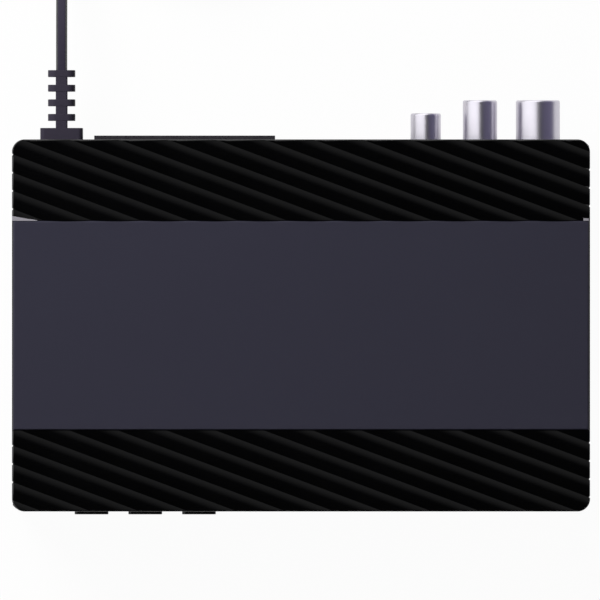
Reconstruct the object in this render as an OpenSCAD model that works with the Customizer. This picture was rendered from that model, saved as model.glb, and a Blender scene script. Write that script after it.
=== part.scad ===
// A digital television receiver. Two black shells hold a main board, a power section and a tuner.
// Ribbed bands on the top frame a slate panel, three keys stand in the front, sockets fill the rear,
// and a fixed flat mains lead leaves through a ringed strain relief and lies coiled behind the case.

/* [Case] */
// Width of the case, left to right
body_w = 160; // [154:1:180]
// Depth of the case, front to rear
body_d = 103; // [98:1:125]
// Height of the case without its feet
body_h = 34; // [33:0.5:44]
// Wall of the two shells
wall = 2; // [1.6:0.1:2.4]
// Radius of the upright corners
corner_r = 3.5; // [3:0.5:5]
// Height of the bottom shell, up to the parting line
bottom_h = 14; // [12:0.5:16]
// Width of the corner posts beside the front and rear panels
post_w = 6; // [5.5:0.5:7]
// Height of the sill under the front and rear panels
sill_h = 3; // [2.6:0.1:3.6]
// Depth of the lintel above the front and rear panels
lintel_h = 1.2; // [0.8:0.1:1.8]
// Height of the rubber feet
foot_h = 2; // [1.5:0.5:4]
// Radius of the rubber feet
foot_r = 5; // [4:0.5:6]
// Depth of the seats that hold the feet
foot_seat = 0.5; // [0.3:0.1:0.8]
// Distance of the feet from the sides of the case
foot_inset = 19; // [17:1:24]

/* [Top] */
// Depth of each ribbed band, front and rear
band_d = 22.4; // [20:0.2:26]
// Distance from crease to crease, square to the ribs
rib_pitch = 4.72; // [4:0.02:6]
// Slant of the ribs
rib_angle = 20.5; // [12:0.5:30]
// Height of the ribs
rib_h = 0.6; // [0.4:0.1:0.9]
// Place of the first crease, from the middle of the case
rib_phase = 2.23; // [0:0.01:4.7]
// Depth of the flutes where the creases run down the sides
flute_d = 0.35; // [0.2:0.05:0.5]
// Thickness of the slate panel
panel_t = 1.2; // [1:0.1:1.6]
// Depth of the panel's face below the crests of the ribs
panel_sink = 0.2; // [0.1:0.1:0.5]
// Thickness of the sheet that backs the panel
backing_t = 0.4; // [0.3:0.1:0.6]
// Length of the backing's wedge-shaped tab, at the left
wedge_w = 7; // [4:0.2:8]
// Depth of the wedge-shaped tab
wedge_d = 1.2; // [1:0.1:2]
// Length of the backing's short tab, at the right
bar_w = 1.5; // [1.2:0.1:2.4]
// Depth of the short tab
bar_d = 0.6; // [0.6:0.1:1.2]

/* [Front] */
// Width of a key
key_w = 9.35; // [8:0.05:10.5]
// Height of a key
key_h = 5.5; // [4.5:0.1:7]
// Distance from key to key
key_pitch = 14.9; // [14:0.1:17]
// Distance of the first key from the left side
key_x = 21.9; // [20:0.1:26]
// How far a key stands out of the front
key_proud = 0.9; // [0.7:0.1:1.5]
// Travel of a key
key_travel = 0.5; // [0.3:0.1:0.6]
// Thickness of the rim that stops a key behind the front panel
key_rim = 1; // [0.8:0.1:1.4]
// Height of the keys and the window above the case's underside
front_z = 17; // [16.5:0.5:19]
// Width of the display window
window_w = 56; // [48:1:58]
// Height of the display window
window_h = 15; // [13:0.5:16]
// Thickness of the display window
window_t = 1; // [0.8:0.1:1.4]
// Place of the window's middle, right of the point midway between the keys and the USB socket
window_x = -1.9; // [-3:0.1:3]
// Distance of the front USB socket from the right side
usb_x = 18; // [16.5:0.5:20]

/* [Rear] */
// Distance of the aerial input from the right side
antenna_x = 14.3; // [14:0.1:16]
// Distance between the two aerial connectors
antenna_pitch = 16.05; // [15:0.05:17]
// Length of the aerial connectors outside the case
antenna_len = 10.9; // [9:0.1:13]
// Outer radius of the aerial input
antenna_in_r = 6.1; // [5.9:0.05:6.2]
// Bore radius of the aerial input
antenna_bore_r = 4.8; // [4.7:0.05:5]
// Outer radius of the aerial loop-out
antenna_out_r = 4.76; // [4.7:0.01:4.85]
// Distance from the loop-out to the coaxial audio socket
audio_pitch = 15.05; // [14.5:0.05:17]
// Outer radius of the audio socket
audio_r = 4.2; // [4:0.05:4.4]
// Length of the audio socket outside the case
audio_len = 7.3; // [6:0.1:9]
// Distance of the SCART socket's middle from the left side
scart_x = 47.75; // [47.5:0.25:50]
// Width of the SCART socket
scart_w = 50.1; // [48:0.1:51]
// Height of the SCART socket
scart_h = 18; // [17:0.5:18.5]
// How far the SCART socket stands out of the case
scart_proud = 1.1; // [0.8:0.1:2]

/* [Boards] */
// Height of the standoffs under the main board
standoff_h = 4; // [3.5:0.5:5]
// Thickness of the boards
board_t = 1.6; // [1.2:0.2:1.6]
// Height of the tuner can
tuner_h = 17; // [16:0.5:18]
// Depth of the tuner can
tuner_d = 26; // [22:1:28]
// Radius of the mains capacitor
mains_cap_r = 6.2; // [5:0.1:7]
// Height of the mains capacitor
mains_cap_h = 19; // [15:0.5:20]
// Side of the processor
processor_w = 20; // [16:1:24]
// Side of the heatsink
heatsink_w = 24; // [18:1:28]
// Height of the heatsink's fins
heatsink_h = 8; // [6:1:12]

/* [Mains lead] */
// Distance of the strain relief from the left side
relief_x = 13.5; // [13.5:0.1:14.5]
// Height of the strain relief above the case's underside
relief_z = 14; // [13.5:0.5:17]
// Width of the strain relief's flange
flange_w = 11.8; // [10.5:0.1:12.4]
// Thickness of the strain relief's flange
flange_t = 3.25; // [2.5:0.05:4]
// Width of a strain relief ring
ring_w = 7.55; // [6.5:0.05:8.5]
// Thickness of a strain relief ring
ring_t = 1.9; // [1.5:0.1:2.2]
// Distance from ring to ring
ring_pitch = 4.05; // [3.6:0.05:4.5]
// Thickness of the flat cord
cord_t = 3.1; // [2.8:0.1:3.4]
// Width of the flat cord, which stands on edge
cord_w = 5; // [4.6:0.1:5.4]
// Radius of the coil's outer turn
coil_r = 35; // [33:1:38]
// Diameter of the plug's pins
pin_d = 4; // [3.8:0.1:4.2]
// Length of the plug's pins
pin_len = 19; // [17:0.5:20]
// Distance between the plug's pins
pin_pitch = 19; // [18:0.5:20]

/* [Clearances] */
// Gap round the front and rear panels and the slate panel
panel_gap = 0.15; // [0.1:0.05:0.3]
// Gap between a key and its hole
key_gap = 0.3; // [0.2:0.05:0.4]
// Gap round a socket in the rear or front panel
socket_gap = 0.3; // [0.2:0.05:0.5]
// Gap between a screw and its hole
screw_gap = 0.1; // [0.05:0.05:0.2]
// Gap round a piece that is pushed into another
seat_gap = 0.05; // [0.02:0.01:0.1]

/* [Hidden] */
$fn = 48;

// How far a cut runs past a face, and a solid into the one that it joins
past = 1;

// Colours
case_black = [0.03, 0.03, 0.035];
slate = [0.2, 0.2, 0.25];
pale_grey = [0.66, 0.65, 0.68];
dark_grey = [0.2, 0.19, 0.22];
nickel = [0.8, 0.79, 0.81];
steel = [0.6, 0.6, 0.62];
copper = [0.75, 0.45, 0.25];
brass = [0.8, 0.65, 0.3];
board_green = [0.1, 0.35, 0.2];
cream = [0.9, 0.87, 0.78];
chip_black = [0.08, 0.08, 0.09];

// Heights, from the floor up
z_case = foot_h;
z_floor = z_case + wall;
z_split = z_case + bottom_h;
z_top = z_case + body_h;
z_crease = z_top - rib_h;
z_panel = z_top - panel_sink;
z_recess = z_panel - panel_t - backing_t;
z_roof = z_recess - wall;
z_sill = z_case + sill_h;
z_lintel = z_roof - lintel_h;
z_board = z_floor + standoff_h;
z_deck = z_board + board_t;
z_front = z_case + front_z;
z_relief = z_case + relief_z;

// Places along the depth: the origin lies midway between the keys' faces and the connectors' ends
y_front = (key_proud - antenna_len - body_d) / 2;
y_rear = y_front + body_d;
y_mid = y_front + body_d / 2;
lip_t = 1.2;
lip_w = 1.4;
y_front_lip = y_front + wall + lip_t;
y_rear_lip = y_rear - wall - lip_t;
open_w = body_w - 2 * post_w;
band_y = body_d / 2 - band_d;

// Ribs: round crests that meet in sharp creases
rib_r = (rib_pitch * rib_pitch / 4 + rib_h * rib_h) / (2 * rib_h);
rib_reach = (body_w * sin(rib_angle) + body_d * cos(rib_angle)) / 2 + rib_pitch;
rib_n = ceil(rib_reach / rib_pitch) + 1;

// Screws and posts
screw_r = 1.4;
screw_head_r = 2.7;
screw_head_h = 1.8;
counterbore = 2.6;
boss_r = 3.2;
boss_gap = 0.4;
post_h = 4;
post_top = z_floor + post_h;
screw_bite = 9;
boss_x = body_w / 2 - wall - boss_r - boss_gap;
boss_y = body_d / 2 - wall - lip_t - boss_r - boss_gap;
boss_places = [for (sx = [-1, 1], sy = [-1, 1]) [sx * boss_x, y_mid + sy * boss_y]];
board_edge = 1;
board_x = body_w / 2 - wall - board_edge;
board_y0 = y_front_lip + board_edge;
board_y1 = y_rear_lip - board_edge;
standoff_r = 3.5;
standoff_inset = 4;
standoff_rows = [-36, 16];
standoff_places = [for (sx = [-1, 1], y = standoff_rows) [sx * (board_x - standoff_inset), y_mid + y]];
foot_places = [for (sx = [-1, 1], sy = [-1, 1])
  [sx * (body_w / 2 - foot_inset), y_mid + sy * (body_d / 2 - foot_inset)]];
vent_n = 9;
vent_pitch = 6;
vent_w = 2.4;
vent_d = 34;

// Keys, their switches and the front board, from the front panel backwards
key_places = [for (k = [0:2]) -body_w / 2 + key_x + k * key_pitch];
key_corner = 0.8;
rim_w = 1;
stem_r = 2.2;
stem_len = 1;
plunger_r = 1.7;
plunger_len = 3;
plunger_show = 1.5;
switch_w = 6.2;
switch_t = 3.5;
y_rim = y_front_lip + key_rim;
y_plunger = y_rim + stem_len;
y_switch = y_plunger + plunger_show;
y_front_board = y_switch + switch_t;
front_board_h = 18.4;
usb_mid = body_w / 2 - usb_x;
usb_size = [13.2, 14, 5.8];
usb_wall = 0.4;
window_mid = (key_places[2] + key_w / 2 + usb_mid - usb_size[0] / 2) / 2 + window_x;
window_step = 1.5;
display_w = 30;
display_h = 13;
display_gap = 0.2;
lamp_gap = 5;
board_past_key = 8;
board_past_lamp = 10;
front_board_x0 = key_places[0] - board_past_key;
front_board_x1 = window_mid + display_w / 2 + lamp_gap + board_past_lamp;

// Sockets in the rear
antenna_in_x = body_w / 2 - antenna_x;
antenna_out_x = antenna_in_x - antenna_pitch;
audio_x = antenna_out_x - audio_pitch;
scart_mid = -body_w / 2 + scart_x;
antenna_lift = 10;
antenna_z = z_deck + antenna_lift;
audio_lift = 8;
audio_z = z_deck + audio_lift;
can_set = 0.5;
y_can = board_y1 - can_set;
rim_cut = 0.4;
collar_t = 0.8;
audio_body = [10, 10, 12.4];
hdmi_size = [15, 11.6, 5.6];
hdmi_wall = 0.4;
hdmi_x = (scart_mid + scart_w / 2 + audio_x - audio_body[0] / 2) / 2;
scart_depth = 15;
scart_trench = 9;
scart_core = [42, 9.6];
scart_groove = 1.9;
scart_rows = [-2.6, 2.6];
scart_pitch = 3.81;

// Power section, placed from the left side
power_x = -body_w / 2 + relief_x;
terminal_size = [10, 8, 10];
lead_r = 1.1;
lead_pitch = 2.8;
inner_flange_t = 2;
inner_flange_w = 9.6;
inner_flange_lip = 0.5;
fuse_r = 2.6;
fuse_len = 20;
fuse_back = 12;
y_fuse = y_mid + fuse_back;
choke_r = 7;
choke_ahead = 9;
y_choke = y_mid - choke_ahead;
mains_cap_ahead = 26;
y_mains_cap = y_mid - mains_cap_ahead;
transformer = [18, 20, 15];
transformer_gap = 24;
transformer_ahead = 3;
transformer_mid = [power_x + transformer_gap, y_mid - transformer_ahead];
core_arm = 4;
winding_x = 3;
bobbin_inset = 1.5;
output_cap_gap = 18;
output_cap_pitch = 10;

// The lead. Its points are set from the strain relief's end: how far along, and the share of the drop
ring_n = 4;
neck_show = 2;
relief_len = flange_t + neck_show + (ring_n - 1) * ring_pitch + ring_t;
cord_exit = [power_x, y_rear + relief_len, z_relief];
flange_h = 13.6;
ring_h = 9.4;
relief_corner = 1.2;
neck_corner = 0.5;
neck_skin = 0.07;
neck_w = cord_t + 2 * neck_skin;
neck_sink = 0.3;
neck_h = ring_h - 2 * neck_sink;
tie_t = 0.7;
tie_gap = 0.1;
cord_lay = tie_t + 2 * tie_gap + cord_w / 2;
lead_route = [[0, 0], [6, 0], [12, 0.06], [18, 0.2], [24, 0.4], [30, 0.6], [36, 0.8], [42, 0.94], [48, 1],
  [55, 1]];
coil_turns = 7.375;
coil_half = coil_turns / 2;
turn_room = 0.5;
coil_step = cord_t + turn_room;
coil_layer = cord_w + turn_room;
coil_climb = 0.5;
coil_dip = coil_step / 2;
loop_rings = 24;
coil_straight = 5;
coil_mid = cord_exit + [coil_r, lead_route[9][0] + coil_straight, cord_lay - z_relief];
tail_angle = 180 - 360 * coil_turns;
tail_start = coil_mid + coil_r * [cos(tail_angle), sin(tail_angle), 0]
  + coil_straight * [sin(tail_angle), -cos(tail_angle), 0] + [0, 0, coil_layer];
plug_t = 13.7;
plug_z = plug_t / 2 + tie_gap;
tail_route = [[0, 0, 0], [4, -4, 0], [8, -7, 0.1], [12.5, -9.5, 0.4], [17.5, -11, 0.75], [23, -11.5, 1],
  [31, -11.5, 1]];
plug_relief = 12;
plug_len = 33;
plug_w = 35;
tie_w = 5;

// Plain shapes that several pieces share
module rounded_rect(w, d, r) {
  square([w - 2 * r, d], center = true);
  square([w, d - 2 * r], center = true);
  for (sx = [-1, 1], sy = [-1, 1])
    translate([sx * (w / 2 - r), sy * (d / 2 - r)])
      circle(r);
}

// An upright plate with rounded corners whose face looks along -Y, from y to y + t
module upright_plate(w, h, r, y, t) {
  translate([0, y + t, 0])
    rotate([90, 0, 0])
      linear_extrude(t)
        rounded_rect(w, h, r);
}

// A round piece along +Y, turned from a profile of [radius, distance] points
module turned_along_y(profile) {
  rotate([-90, 0, 0])
    rotate_extrude()
      polygon(profile);
}

// A box that stands on z = 0, centred in plan
module standing_box(size) {
  translate([-size[0] / 2, -size[1] / 2, 0])
    cube(size);
}

// Tube along a list of points, with a ring of the section's points square to the run at each one
function unit(v) = v / norm(v);
function heading(path, i) = unit(path[min(i + 1, len(path) - 1)] - path[max(i - 1, 0)]);
function ring_at(path, i, section) =
  let (ahead = heading(path, i), side = unit(cross(ahead, [0, 0, 1])), up = cross(side, ahead))
    [for (s = section) path[i] + s[0] * side + s[1] * up];
function cap(first, m, turn) = [for (j = [1:m - 2])
  turn ? [first, first + j + 1, first + j] : [first, first + j, first + j + 1]];
function sleeve(n, m) = [for (i = [0:n - 2], j = [0:m - 1], half = [0, 1])
  let (a = i * m + j, b = i * m + (j + 1) % m)
    half == 0 ? [a, b, a + m] : [b, b + m, a + m]];
module tube(path, section) {
  n = len(path);
  m = len(section);
  polyhedron(
    points = [for (i = [0:n - 1]) each ring_at(path, i, section)],
    faces = concat(cap(0, m, true), sleeve(n, m), cap((n - 1) * m, m, false))
  );
}

// The flat cord's outline, with eight corners on the free lengths and six in the coil
cord_section = [for (s = [[0.5, -0.25], [0.5, 0.25], [0.26, 0.5], [-0.26, 0.5], [-0.5, 0.25], [-0.5, -0.25],
  [-0.26, -0.5], [0.26, -0.5]]) [s[0] * cord_t, s[1] * cord_w]];
coil_section = [for (s = [[0.5, -0.28], [0.5, 0.28], [0, 0.5], [-0.5, 0.28], [-0.5, -0.28], [0, -0.5]])
  [s[0] * cord_t, s[1] * cord_w]];

// The coil winds in on the lower layer, dips inward to climb, and winds out on the upper one
function ease(x) = let (u = min(max(x, 0), 1)) u * u * (3 - 2 * u);
function coil_radius(t) = coil_r - coil_step * (coil_half - abs(coil_half - t))
  - coil_dip * ease((coil_climb - abs(t - coil_half)) * 2 / coil_climb);
function coil_height(t) = coil_layer * ease((t - coil_half) / coil_climb + 0.5);
function coil_point(t) = let (a = 360 * (0.5 - t))
  coil_mid + [coil_radius(t) * cos(a), coil_radius(t) * sin(a), coil_height(t)];
coil_path = concat(
  [coil_mid + [-coil_r, -coil_straight, 0]],
  [for (i = [0:loop_rings * coil_turns]) coil_point(i / loop_rings)],
  [tail_start]
);
lead_path = [for (p = lead_route) cord_exit + [0, p[0], p[1] * (cord_lay - z_relief)]];
tail_path = [for (p = tail_route) tail_start + [p[0], p[1], p[2] * (plug_z - tail_start[2])]];
plug_start = tail_path[len(tail_path) - 1];

// The coil's least gap between turns, and the length of the whole cord
function turn_gap(t, u) = max(abs(coil_radius(t) - coil_radius(u)) - cord_t,
  abs(coil_height(t) - coil_height(u)) - cord_w);
coil_gap = min([
  for (t = [0:1 / loop_rings:coil_turns - 1], k = [1:floor(coil_turns - t)]) turn_gap(t, t + k)
]);
function run(path, i = 0) = i > len(path) - 2 ? 0 : norm(path[i + 1] - path[i]) + run(path, i + 1);
echo(least_gap_of_coil_mm = coil_gap);
echo(cord_length_mm = run(lead_path) + run(coil_path) + run(tail_path));

// Bottom case: a tray with standoffs, screw posts, vents and seats for the feet
module bottom_case() {
  color(case_black)
    difference() {
      union() {
        translate([0, y_mid, z_case])
          difference() {
            linear_extrude(bottom_h)
              rounded_rect(body_w, body_d, corner_r);
            translate([0, 0, wall])
              linear_extrude(bottom_h)
                rounded_rect(body_w - 2 * wall, body_d - 2 * wall, corner_r - wall);
          }
        for (p = standoff_places)
          translate([p[0], p[1], z_floor - wall / 2])
            cylinder(h = standoff_h + wall / 2, r = standoff_r);
        for (p = boss_places)
          translate([p[0], p[1], z_floor - wall / 2])
            cylinder(h = post_top - z_floor + wall / 2, r = boss_r);
      }
      end_opening(z_sill, z_split + past);
      for (p = boss_places) {
        translate([p[0], p[1], z_case - past])
          cylinder(h = counterbore + past, r = screw_head_r + screw_gap);
        translate([p[0], p[1], z_case])
          cylinder(h = post_top, r = screw_r + screw_gap);
      }
      for (p = standoff_places)
        translate([p[0], p[1], z_floor])
          cylinder(h = standoff_h + past, r = screw_r + screw_gap);
      for (p = foot_places)
        translate([p[0], p[1], z_case - past])
          cylinder(h = foot_seat + past, r = foot_r + seat_gap);
      for (k = [0:vent_n - 1])
        translate([(k - (vent_n - 1) / 2) * vent_pitch, y_mid, z_case - past])
          standing_box([vent_w, vent_d, wall + 2 * past]);
    }
}

// The openings for the front and rear panels, cut through both end walls between two heights
module end_opening(z0, z1) {
  translate([-open_w / 2, y_front - past, z0])
    cube([open_w, body_d + 2 * past, z1 - z0]);
}

// Top cover: walls and roof, two ribbed bands, the recess of the slate panel, and four screw bosses
module top_cover() {
  color(case_black)
    difference() {
      union() {
        translate([0, y_mid, 0]) {
          difference() {
            translate([0, 0, z_split])
              linear_extrude(z_recess - z_split)
                fluted_outline();
            translate([0, 0, z_split - past])
              linear_extrude(z_roof - z_split + past)
                rounded_rect(body_w - 2 * wall, body_d - 2 * wall, corner_r - wall);
          }
          ribbed_bands();
        }
        for (p = boss_places)
          translate([p[0], p[1], post_top])
            cylinder(h = z_roof - post_top + wall / 2, r = boss_r);
      }
      end_opening(z_split - past, z_lintel);
      for (p = boss_places)
        translate([p[0], p[1], post_top - past])
          cylinder(h = screw_bite + past, r = screw_r + screw_gap);
      translate([0, y_mid, z_recess])
        linear_extrude(body_h)
          backing_tabs(seat_gap);
    }
}

// The case's outline, with an upright flute wherever a crease reaches the left or right side
module fluted_outline() {
  difference() {
    rounded_rect(body_w, body_d, corner_r);
    for (side = [-1, 1], k = [-rib_n:rib_n]) {
      y = (rib_phase + k * rib_pitch - side * body_w / 2 * sin(rib_angle)) / cos(rib_angle);
      if (abs(y) > band_y + flute_d && abs(y) < body_d / 2 - corner_r - flute_d)
        translate([side * body_w / 2, y])
          rotate(45)
            square(flute_d * sqrt(2), center = true);
    }
  }
}

module ribbed_bands() {
  intersection() {
    translate([0, 0, z_recess - wall / 2])
      linear_extrude(body_h)
        difference() {
          fluted_outline();
          square([body_w + 2 * past, 2 * band_y], center = true);
        }
    rotate([0, 0, -rib_angle])
      translate([-body_w, 0, 0])
        rotate([90, 0, 90])
          linear_extrude(2 * body_w)
            rib_profile();
  }
}

// The ribs' cross-section: a slab with a round crest between each pair of creases
module rib_profile() {
  translate([-rib_reach, z_roof])
    square([2 * rib_reach, z_crease - z_roof - rib_h / 4]);
  for (k = [-rib_n:rib_n - 1])
    translate([rib_phase + (k + 0.5) * rib_pitch, z_top - rib_r])
      circle(rib_r);
}

// The two spots behind the panel where its backing shows: a wedge at the left, a short bar at the right
module backing_tabs(gap) {
  polygon([
    [-body_w / 2 - gap, band_y - panel_gap - gap],
    [-body_w / 2 - gap, band_y + wedge_d + gap],
    [-body_w / 2 + wedge_w + gap, band_y + gap],
    [-body_w / 2 + wedge_w + gap, band_y - panel_gap - gap]
  ]);
  translate([body_w / 2 - flute_d - bar_w - gap, band_y - panel_gap - gap])
    square([bar_w + 2 * gap, bar_d + panel_gap + 2 * gap]);
}

// Slate panel, laid between the bands over the whole width
module top_panel() {
  color(slate)
    translate([-body_w / 2, y_mid - band_y + panel_gap, z_recess + backing_t])
      cube([body_w, 2 * (band_y - panel_gap), panel_t]);
}

// Backing sheet under the panel, with its two tabs
module panel_backing() {
  inset = 3;
  edge = 0.2;
  lap = 1;
  color(pale_grey) {
    translate([-body_w / 2 + inset, y_mid - band_y + inset, z_recess])
      cube([body_w - 2 * inset, 2 * (band_y - inset), backing_t]);
    translate([0, y_mid, z_recess])
      linear_extrude(z_panel - z_recess)
        backing_tabs(0);
    for (x = [-body_w / 2 + edge, body_w / 2 - inset - lap])
      translate([x, y_mid + band_y - 2 * inset, z_recess])
        cube([inset + lap - edge, 2 * inset - panel_gap, backing_t]);
  }
}

// A panel that fills an end opening, with a lip behind it that the shells trap
module end_plate() {
  translate([-open_w / 2 + panel_gap, 0, z_sill + panel_gap])
    cube([open_w - 2 * panel_gap, wall + lip_t / 2, z_lintel - z_sill - 2 * panel_gap]);
  translate([-open_w / 2 - lip_w, wall, z_floor])
    cube([open_w + 2 * lip_w, lip_t, z_roof - z_floor - panel_gap]);
}

// Front panel, with holes for the keys, a stepped window opening and a hole for the USB socket
module front_panel() {
  through = wall + lip_t + 2 * past;
  hole = [key_w + 2 * key_gap, key_h + 2 * key_gap, key_corner + key_gap];
  color(case_black)
    difference() {
      translate([0, y_front, 0])
        end_plate();
      for (x = key_places)
        translate([x, 0, z_front])
          upright_plate(hole[0], hole[1], hole[2], y_front - past, through);
      translate([window_mid, 0, z_front]) {
        upright_plate(window_w, window_h, key_corner, y_front - past, window_t + past);
        upright_plate(window_w - 2 * window_step, window_h - 2 * window_step, key_corner, y_front, through);
      }
      translate([usb_mid, y_front + wall, z_deck - socket_gap])
        standing_box([usb_size[0] + 2 * socket_gap, 4 * wall, usb_size[2] + 2 * socket_gap]);
    }
}

// Display window, glued into the step of the front panel
module display_window() {
  color([0.12, 0.05, 0.06])
    translate([window_mid, 0, z_front])
      upright_plate(window_w - 2 * panel_gap, window_h - 2 * panel_gap, key_corner, y_front, window_t);
}

// Rear panel, cut out for each socket and for the strain relief
module rear_panel() {
  thick = wall + lip_t;
  hole = [ring_w + 2 * seat_gap, ring_h + 2 * seat_gap];
  y = y_rear - thick;
  color(case_black)
    difference() {
      translate([0, y_rear, 0])
        mirror([0, 1, 0])
          end_plate();
      translate([power_x, 0, z_relief])
        upright_plate(hole[0], hole[1], relief_corner + seat_gap, y - thick / 2, 2 * thick);
      translate([scart_mid, y + thick / 2, z_deck - socket_gap])
        standing_box([scart_w + 2 * socket_gap, 2 * thick, scart_h + 2 * socket_gap]);
      translate([hdmi_x, y + thick / 2, z_deck - socket_gap])
        standing_box([hdmi_size[0] + 2 * socket_gap, 2 * thick, hdmi_size[2] + 2 * socket_gap]);
      round_cut(audio_x, audio_z, audio_r + collar_t);
      round_cut(antenna_out_x, antenna_z, antenna_out_r + collar_t);
      round_cut(antenna_in_x, antenna_z, antenna_in_r + collar_t);
    }
}

module round_cut(x, z, r) {
  translate([x, y_rear_lip - past, z])
    rotate([-90, 0, 0])
      cylinder(h = wall + lip_t + 2 * past, r = r + socket_gap);
}

// Four rubber feet, pressed into their seats
module rubber_feet() {
  edge = 0.6;
  color(dark_grey)
    for (p = foot_places)
      translate([p[0], p[1], 0]) {
        cylinder(h = edge, r1 = foot_r - edge, r2 = foot_r);
        translate([0, 0, edge])
          cylinder(h = foot_h + foot_seat - edge, r = foot_r);
      }
}

// A pan-head screw that points up, with its head's upper face on z = 0 and a cross slot
module screw(length) {
  slot_len = 1.3 * screw_head_r;
  slot_w = 0.8;
  slot_d = 0.9;
  difference() {
    union() {
      translate([0, 0, -screw_head_h])
        cylinder(h = screw_head_h, r = screw_head_r);
      translate([0, 0, -screw_head_h / 2])
        cylinder(h = length + screw_head_h / 2, r = screw_r);
    }
    for (a = [0, 90])
      rotate(a)
        translate([0, 0, -screw_head_h])
          cube([slot_len, slot_w, 2 * slot_d], center = true);
  }
}

// Four screws from below, which draw the top cover onto the bottom case
module case_screws() {
  tip_gap = 1;
  color(steel)
    for (p = boss_places)
      translate([p[0], p[1], z_case + counterbore])
        screw(post_top - z_case - counterbore + screw_bite - tip_gap);
}

// Four screws from above, which hold the main board on its standoffs
module board_screws() {
  tip_gap = 0.5;
  color(steel)
    for (p = standoff_places)
      translate([p[0], p[1], z_deck])
        mirror([0, 0, 1])
          screw(board_t + standoff_h - tip_gap);
}

// A key: a cap with rounded corners, a rim that stops it behind the panel, and a stem
module key(x) {
  rim = 2 * (key_gap + rim_w);
  color(case_black)
    translate([x, 0, z_front]) {
      upright_plate(key_w, key_h, key_corner, y_front - key_proud, key_proud + wall + lip_t + key_rim / 2);
      upright_plate(key_w + rim, key_h + rim, key_corner, y_front_lip, key_rim);
      translate([0, y_front_lip + key_rim / 2, 0])
        rotate([-90, 0, 0])
          cylinder(h = key_rim / 2 + stem_len, r = stem_r);
    }
}

module key_power() {
  key(key_places[0]);
}

module key_channel_down() {
  key(key_places[1]);
}

module key_channel_up() {
  key(key_places[2]);
}

// A switch plunger, which the key's stem pushes
module plunger(x) {
  color(cream)
    translate([x, y_plunger, z_front])
      rotate([-90, 0, 0])
        cylinder(h = plunger_len, r = plunger_r);
}

module plunger_power() {
  plunger(key_places[0]);
}

module plunger_channel_down() {
  plunger(key_places[1]);
}

module plunger_channel_up() {
  plunger(key_places[2]);
}

// Three switch housings on the front board, each bored for its plunger
module switch_housings() {
  bottom_gap = 0.4;
  bore_depth = plunger_len - plunger_show + key_travel + bottom_gap;
  color(chip_black)
    for (x = key_places)
      translate([x, y_switch, z_front])
        difference() {
          translate([-switch_w / 2, 0, -switch_w / 2])
            cube([switch_w, switch_t, switch_w]);
          translate([0, -past, 0])
            rotate([-90, 0, 0])
              cylinder(h = bore_depth + past, r = plunger_r + screw_gap);
        }
}

// Front board, standing on the main board behind the keys and the window
module front_board() {
  color(board_green)
    translate([front_board_x0, y_front_board, z_deck])
      cube([front_board_x1 - front_board_x0, board_t, front_board_h]);
}

// Header that joins the front board to the main board
module front_header() {
  header = [20.3, 2.5, 6];
  color(chip_black)
    translate([window_mid, y_front_board + board_t + header[1] / 2, z_deck])
      standing_box(header);
}

// Four-digit display on the front board, close behind the window
module led_display() {
  digit = [4.4, 8.2];
  digit_gap = 2.4;
  groove = 0.5;
  depth = y_front_board - y_front_lip - display_gap;
  color(dark_grey)
    translate([window_mid, y_front_lip + display_gap, z_front])
      difference() {
        translate([-display_w / 2, 0, -display_h / 2])
          cube([display_w, depth, display_h]);
        for (k = [-1.5:1.5])
          translate([k * (digit[0] + digit_gap) - digit[0] / 2, -past, -digit[1] / 2])
            cube([digit[0], groove + past, digit[1]]);
      }
}

// Infrared receiver: a small block with a domed lens
module infrared_receiver() {
  block = [6, 4, 7];
  dome_r = 2.4;
  color(chip_black)
    translate([window_mid + display_w / 2 + lamp_gap, y_front_board, z_front]) {
      translate([-block[0] / 2, -block[1], -block[2] / 2])
        cube(block);
      translate([0, -block[1], 0])
        sphere(dome_r);
    }
}

// Standby light: a round lamp with a domed end
module standby_light() {
  lamp_r = 1.5;
  lamp_len = 3.4;
  rim = 0.4;
  rim_h = 1;
  color([0.8, 0.1, 0.1])
    translate([window_mid - display_w / 2 - lamp_gap, y_front_board, z_front])
      rotate([90, 0, 0]) {
        cylinder(h = rim_h, r = lamp_r + rim);
        cylinder(h = lamp_len, r = lamp_r);
        translate([0, 0, lamp_len])
          sphere(lamp_r);
      }
}

// Main board, notched round the case's screw bosses and drilled over the standoffs
module main_board() {
  color(board_green)
    difference() {
      translate([-board_x, board_y0, z_board])
        cube([2 * board_x, board_y1 - board_y0, board_t]);
      for (p = boss_places)
        translate([p[0], p[1], z_board - past])
          cylinder(h = board_t + 2 * past, r = boss_r + 2 * boss_gap);
      for (p = standoff_places)
        translate([p[0], p[1], z_board - past])
          cylinder(h = board_t + 2 * past, r = screw_r + 2 * screw_gap);
    }
}

// Processor, its heatsink, the memory beside it and the crystal that clocks it
processor_h = 1.6;
processor_right = 14;
processor_ahead = 10;
processor_mid = [processor_right, y_mid - processor_ahead];
module processor() {
  color(chip_black)
    translate([processor_mid[0], processor_mid[1], z_deck])
      standing_box([processor_w, processor_w, processor_h]);
}

module heatsink() {
  fins = 7;
  base_t = 2;
  fin_t = 1.2;
  step = (heatsink_w - fin_t) / (fins - 1);
  color(steel)
    translate([processor_mid[0], processor_mid[1], z_deck + processor_h]) {
      standing_box([heatsink_w, heatsink_w, base_t]);
      for (k = [0:fins - 1])
        translate([-heatsink_w / 2 + k * step, -heatsink_w / 2, base_t / 2])
          cube([fin_t, heatsink_w, heatsink_h + base_t / 2]);
    }
}

module memory_chips() {
  memory = [8, 13, 1.1];
  memory_gap = 9;
  start_memory = [6, 5, 1.6];
  start_gap = 5;
  color(chip_black) {
    translate([processor_mid[0] + heatsink_w / 2 + memory_gap, processor_mid[1], z_deck])
      standing_box(memory);
    translate([processor_mid[0], processor_mid[1] - heatsink_w / 2 - start_gap, z_deck])
      standing_box(start_memory);
  }
}

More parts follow.
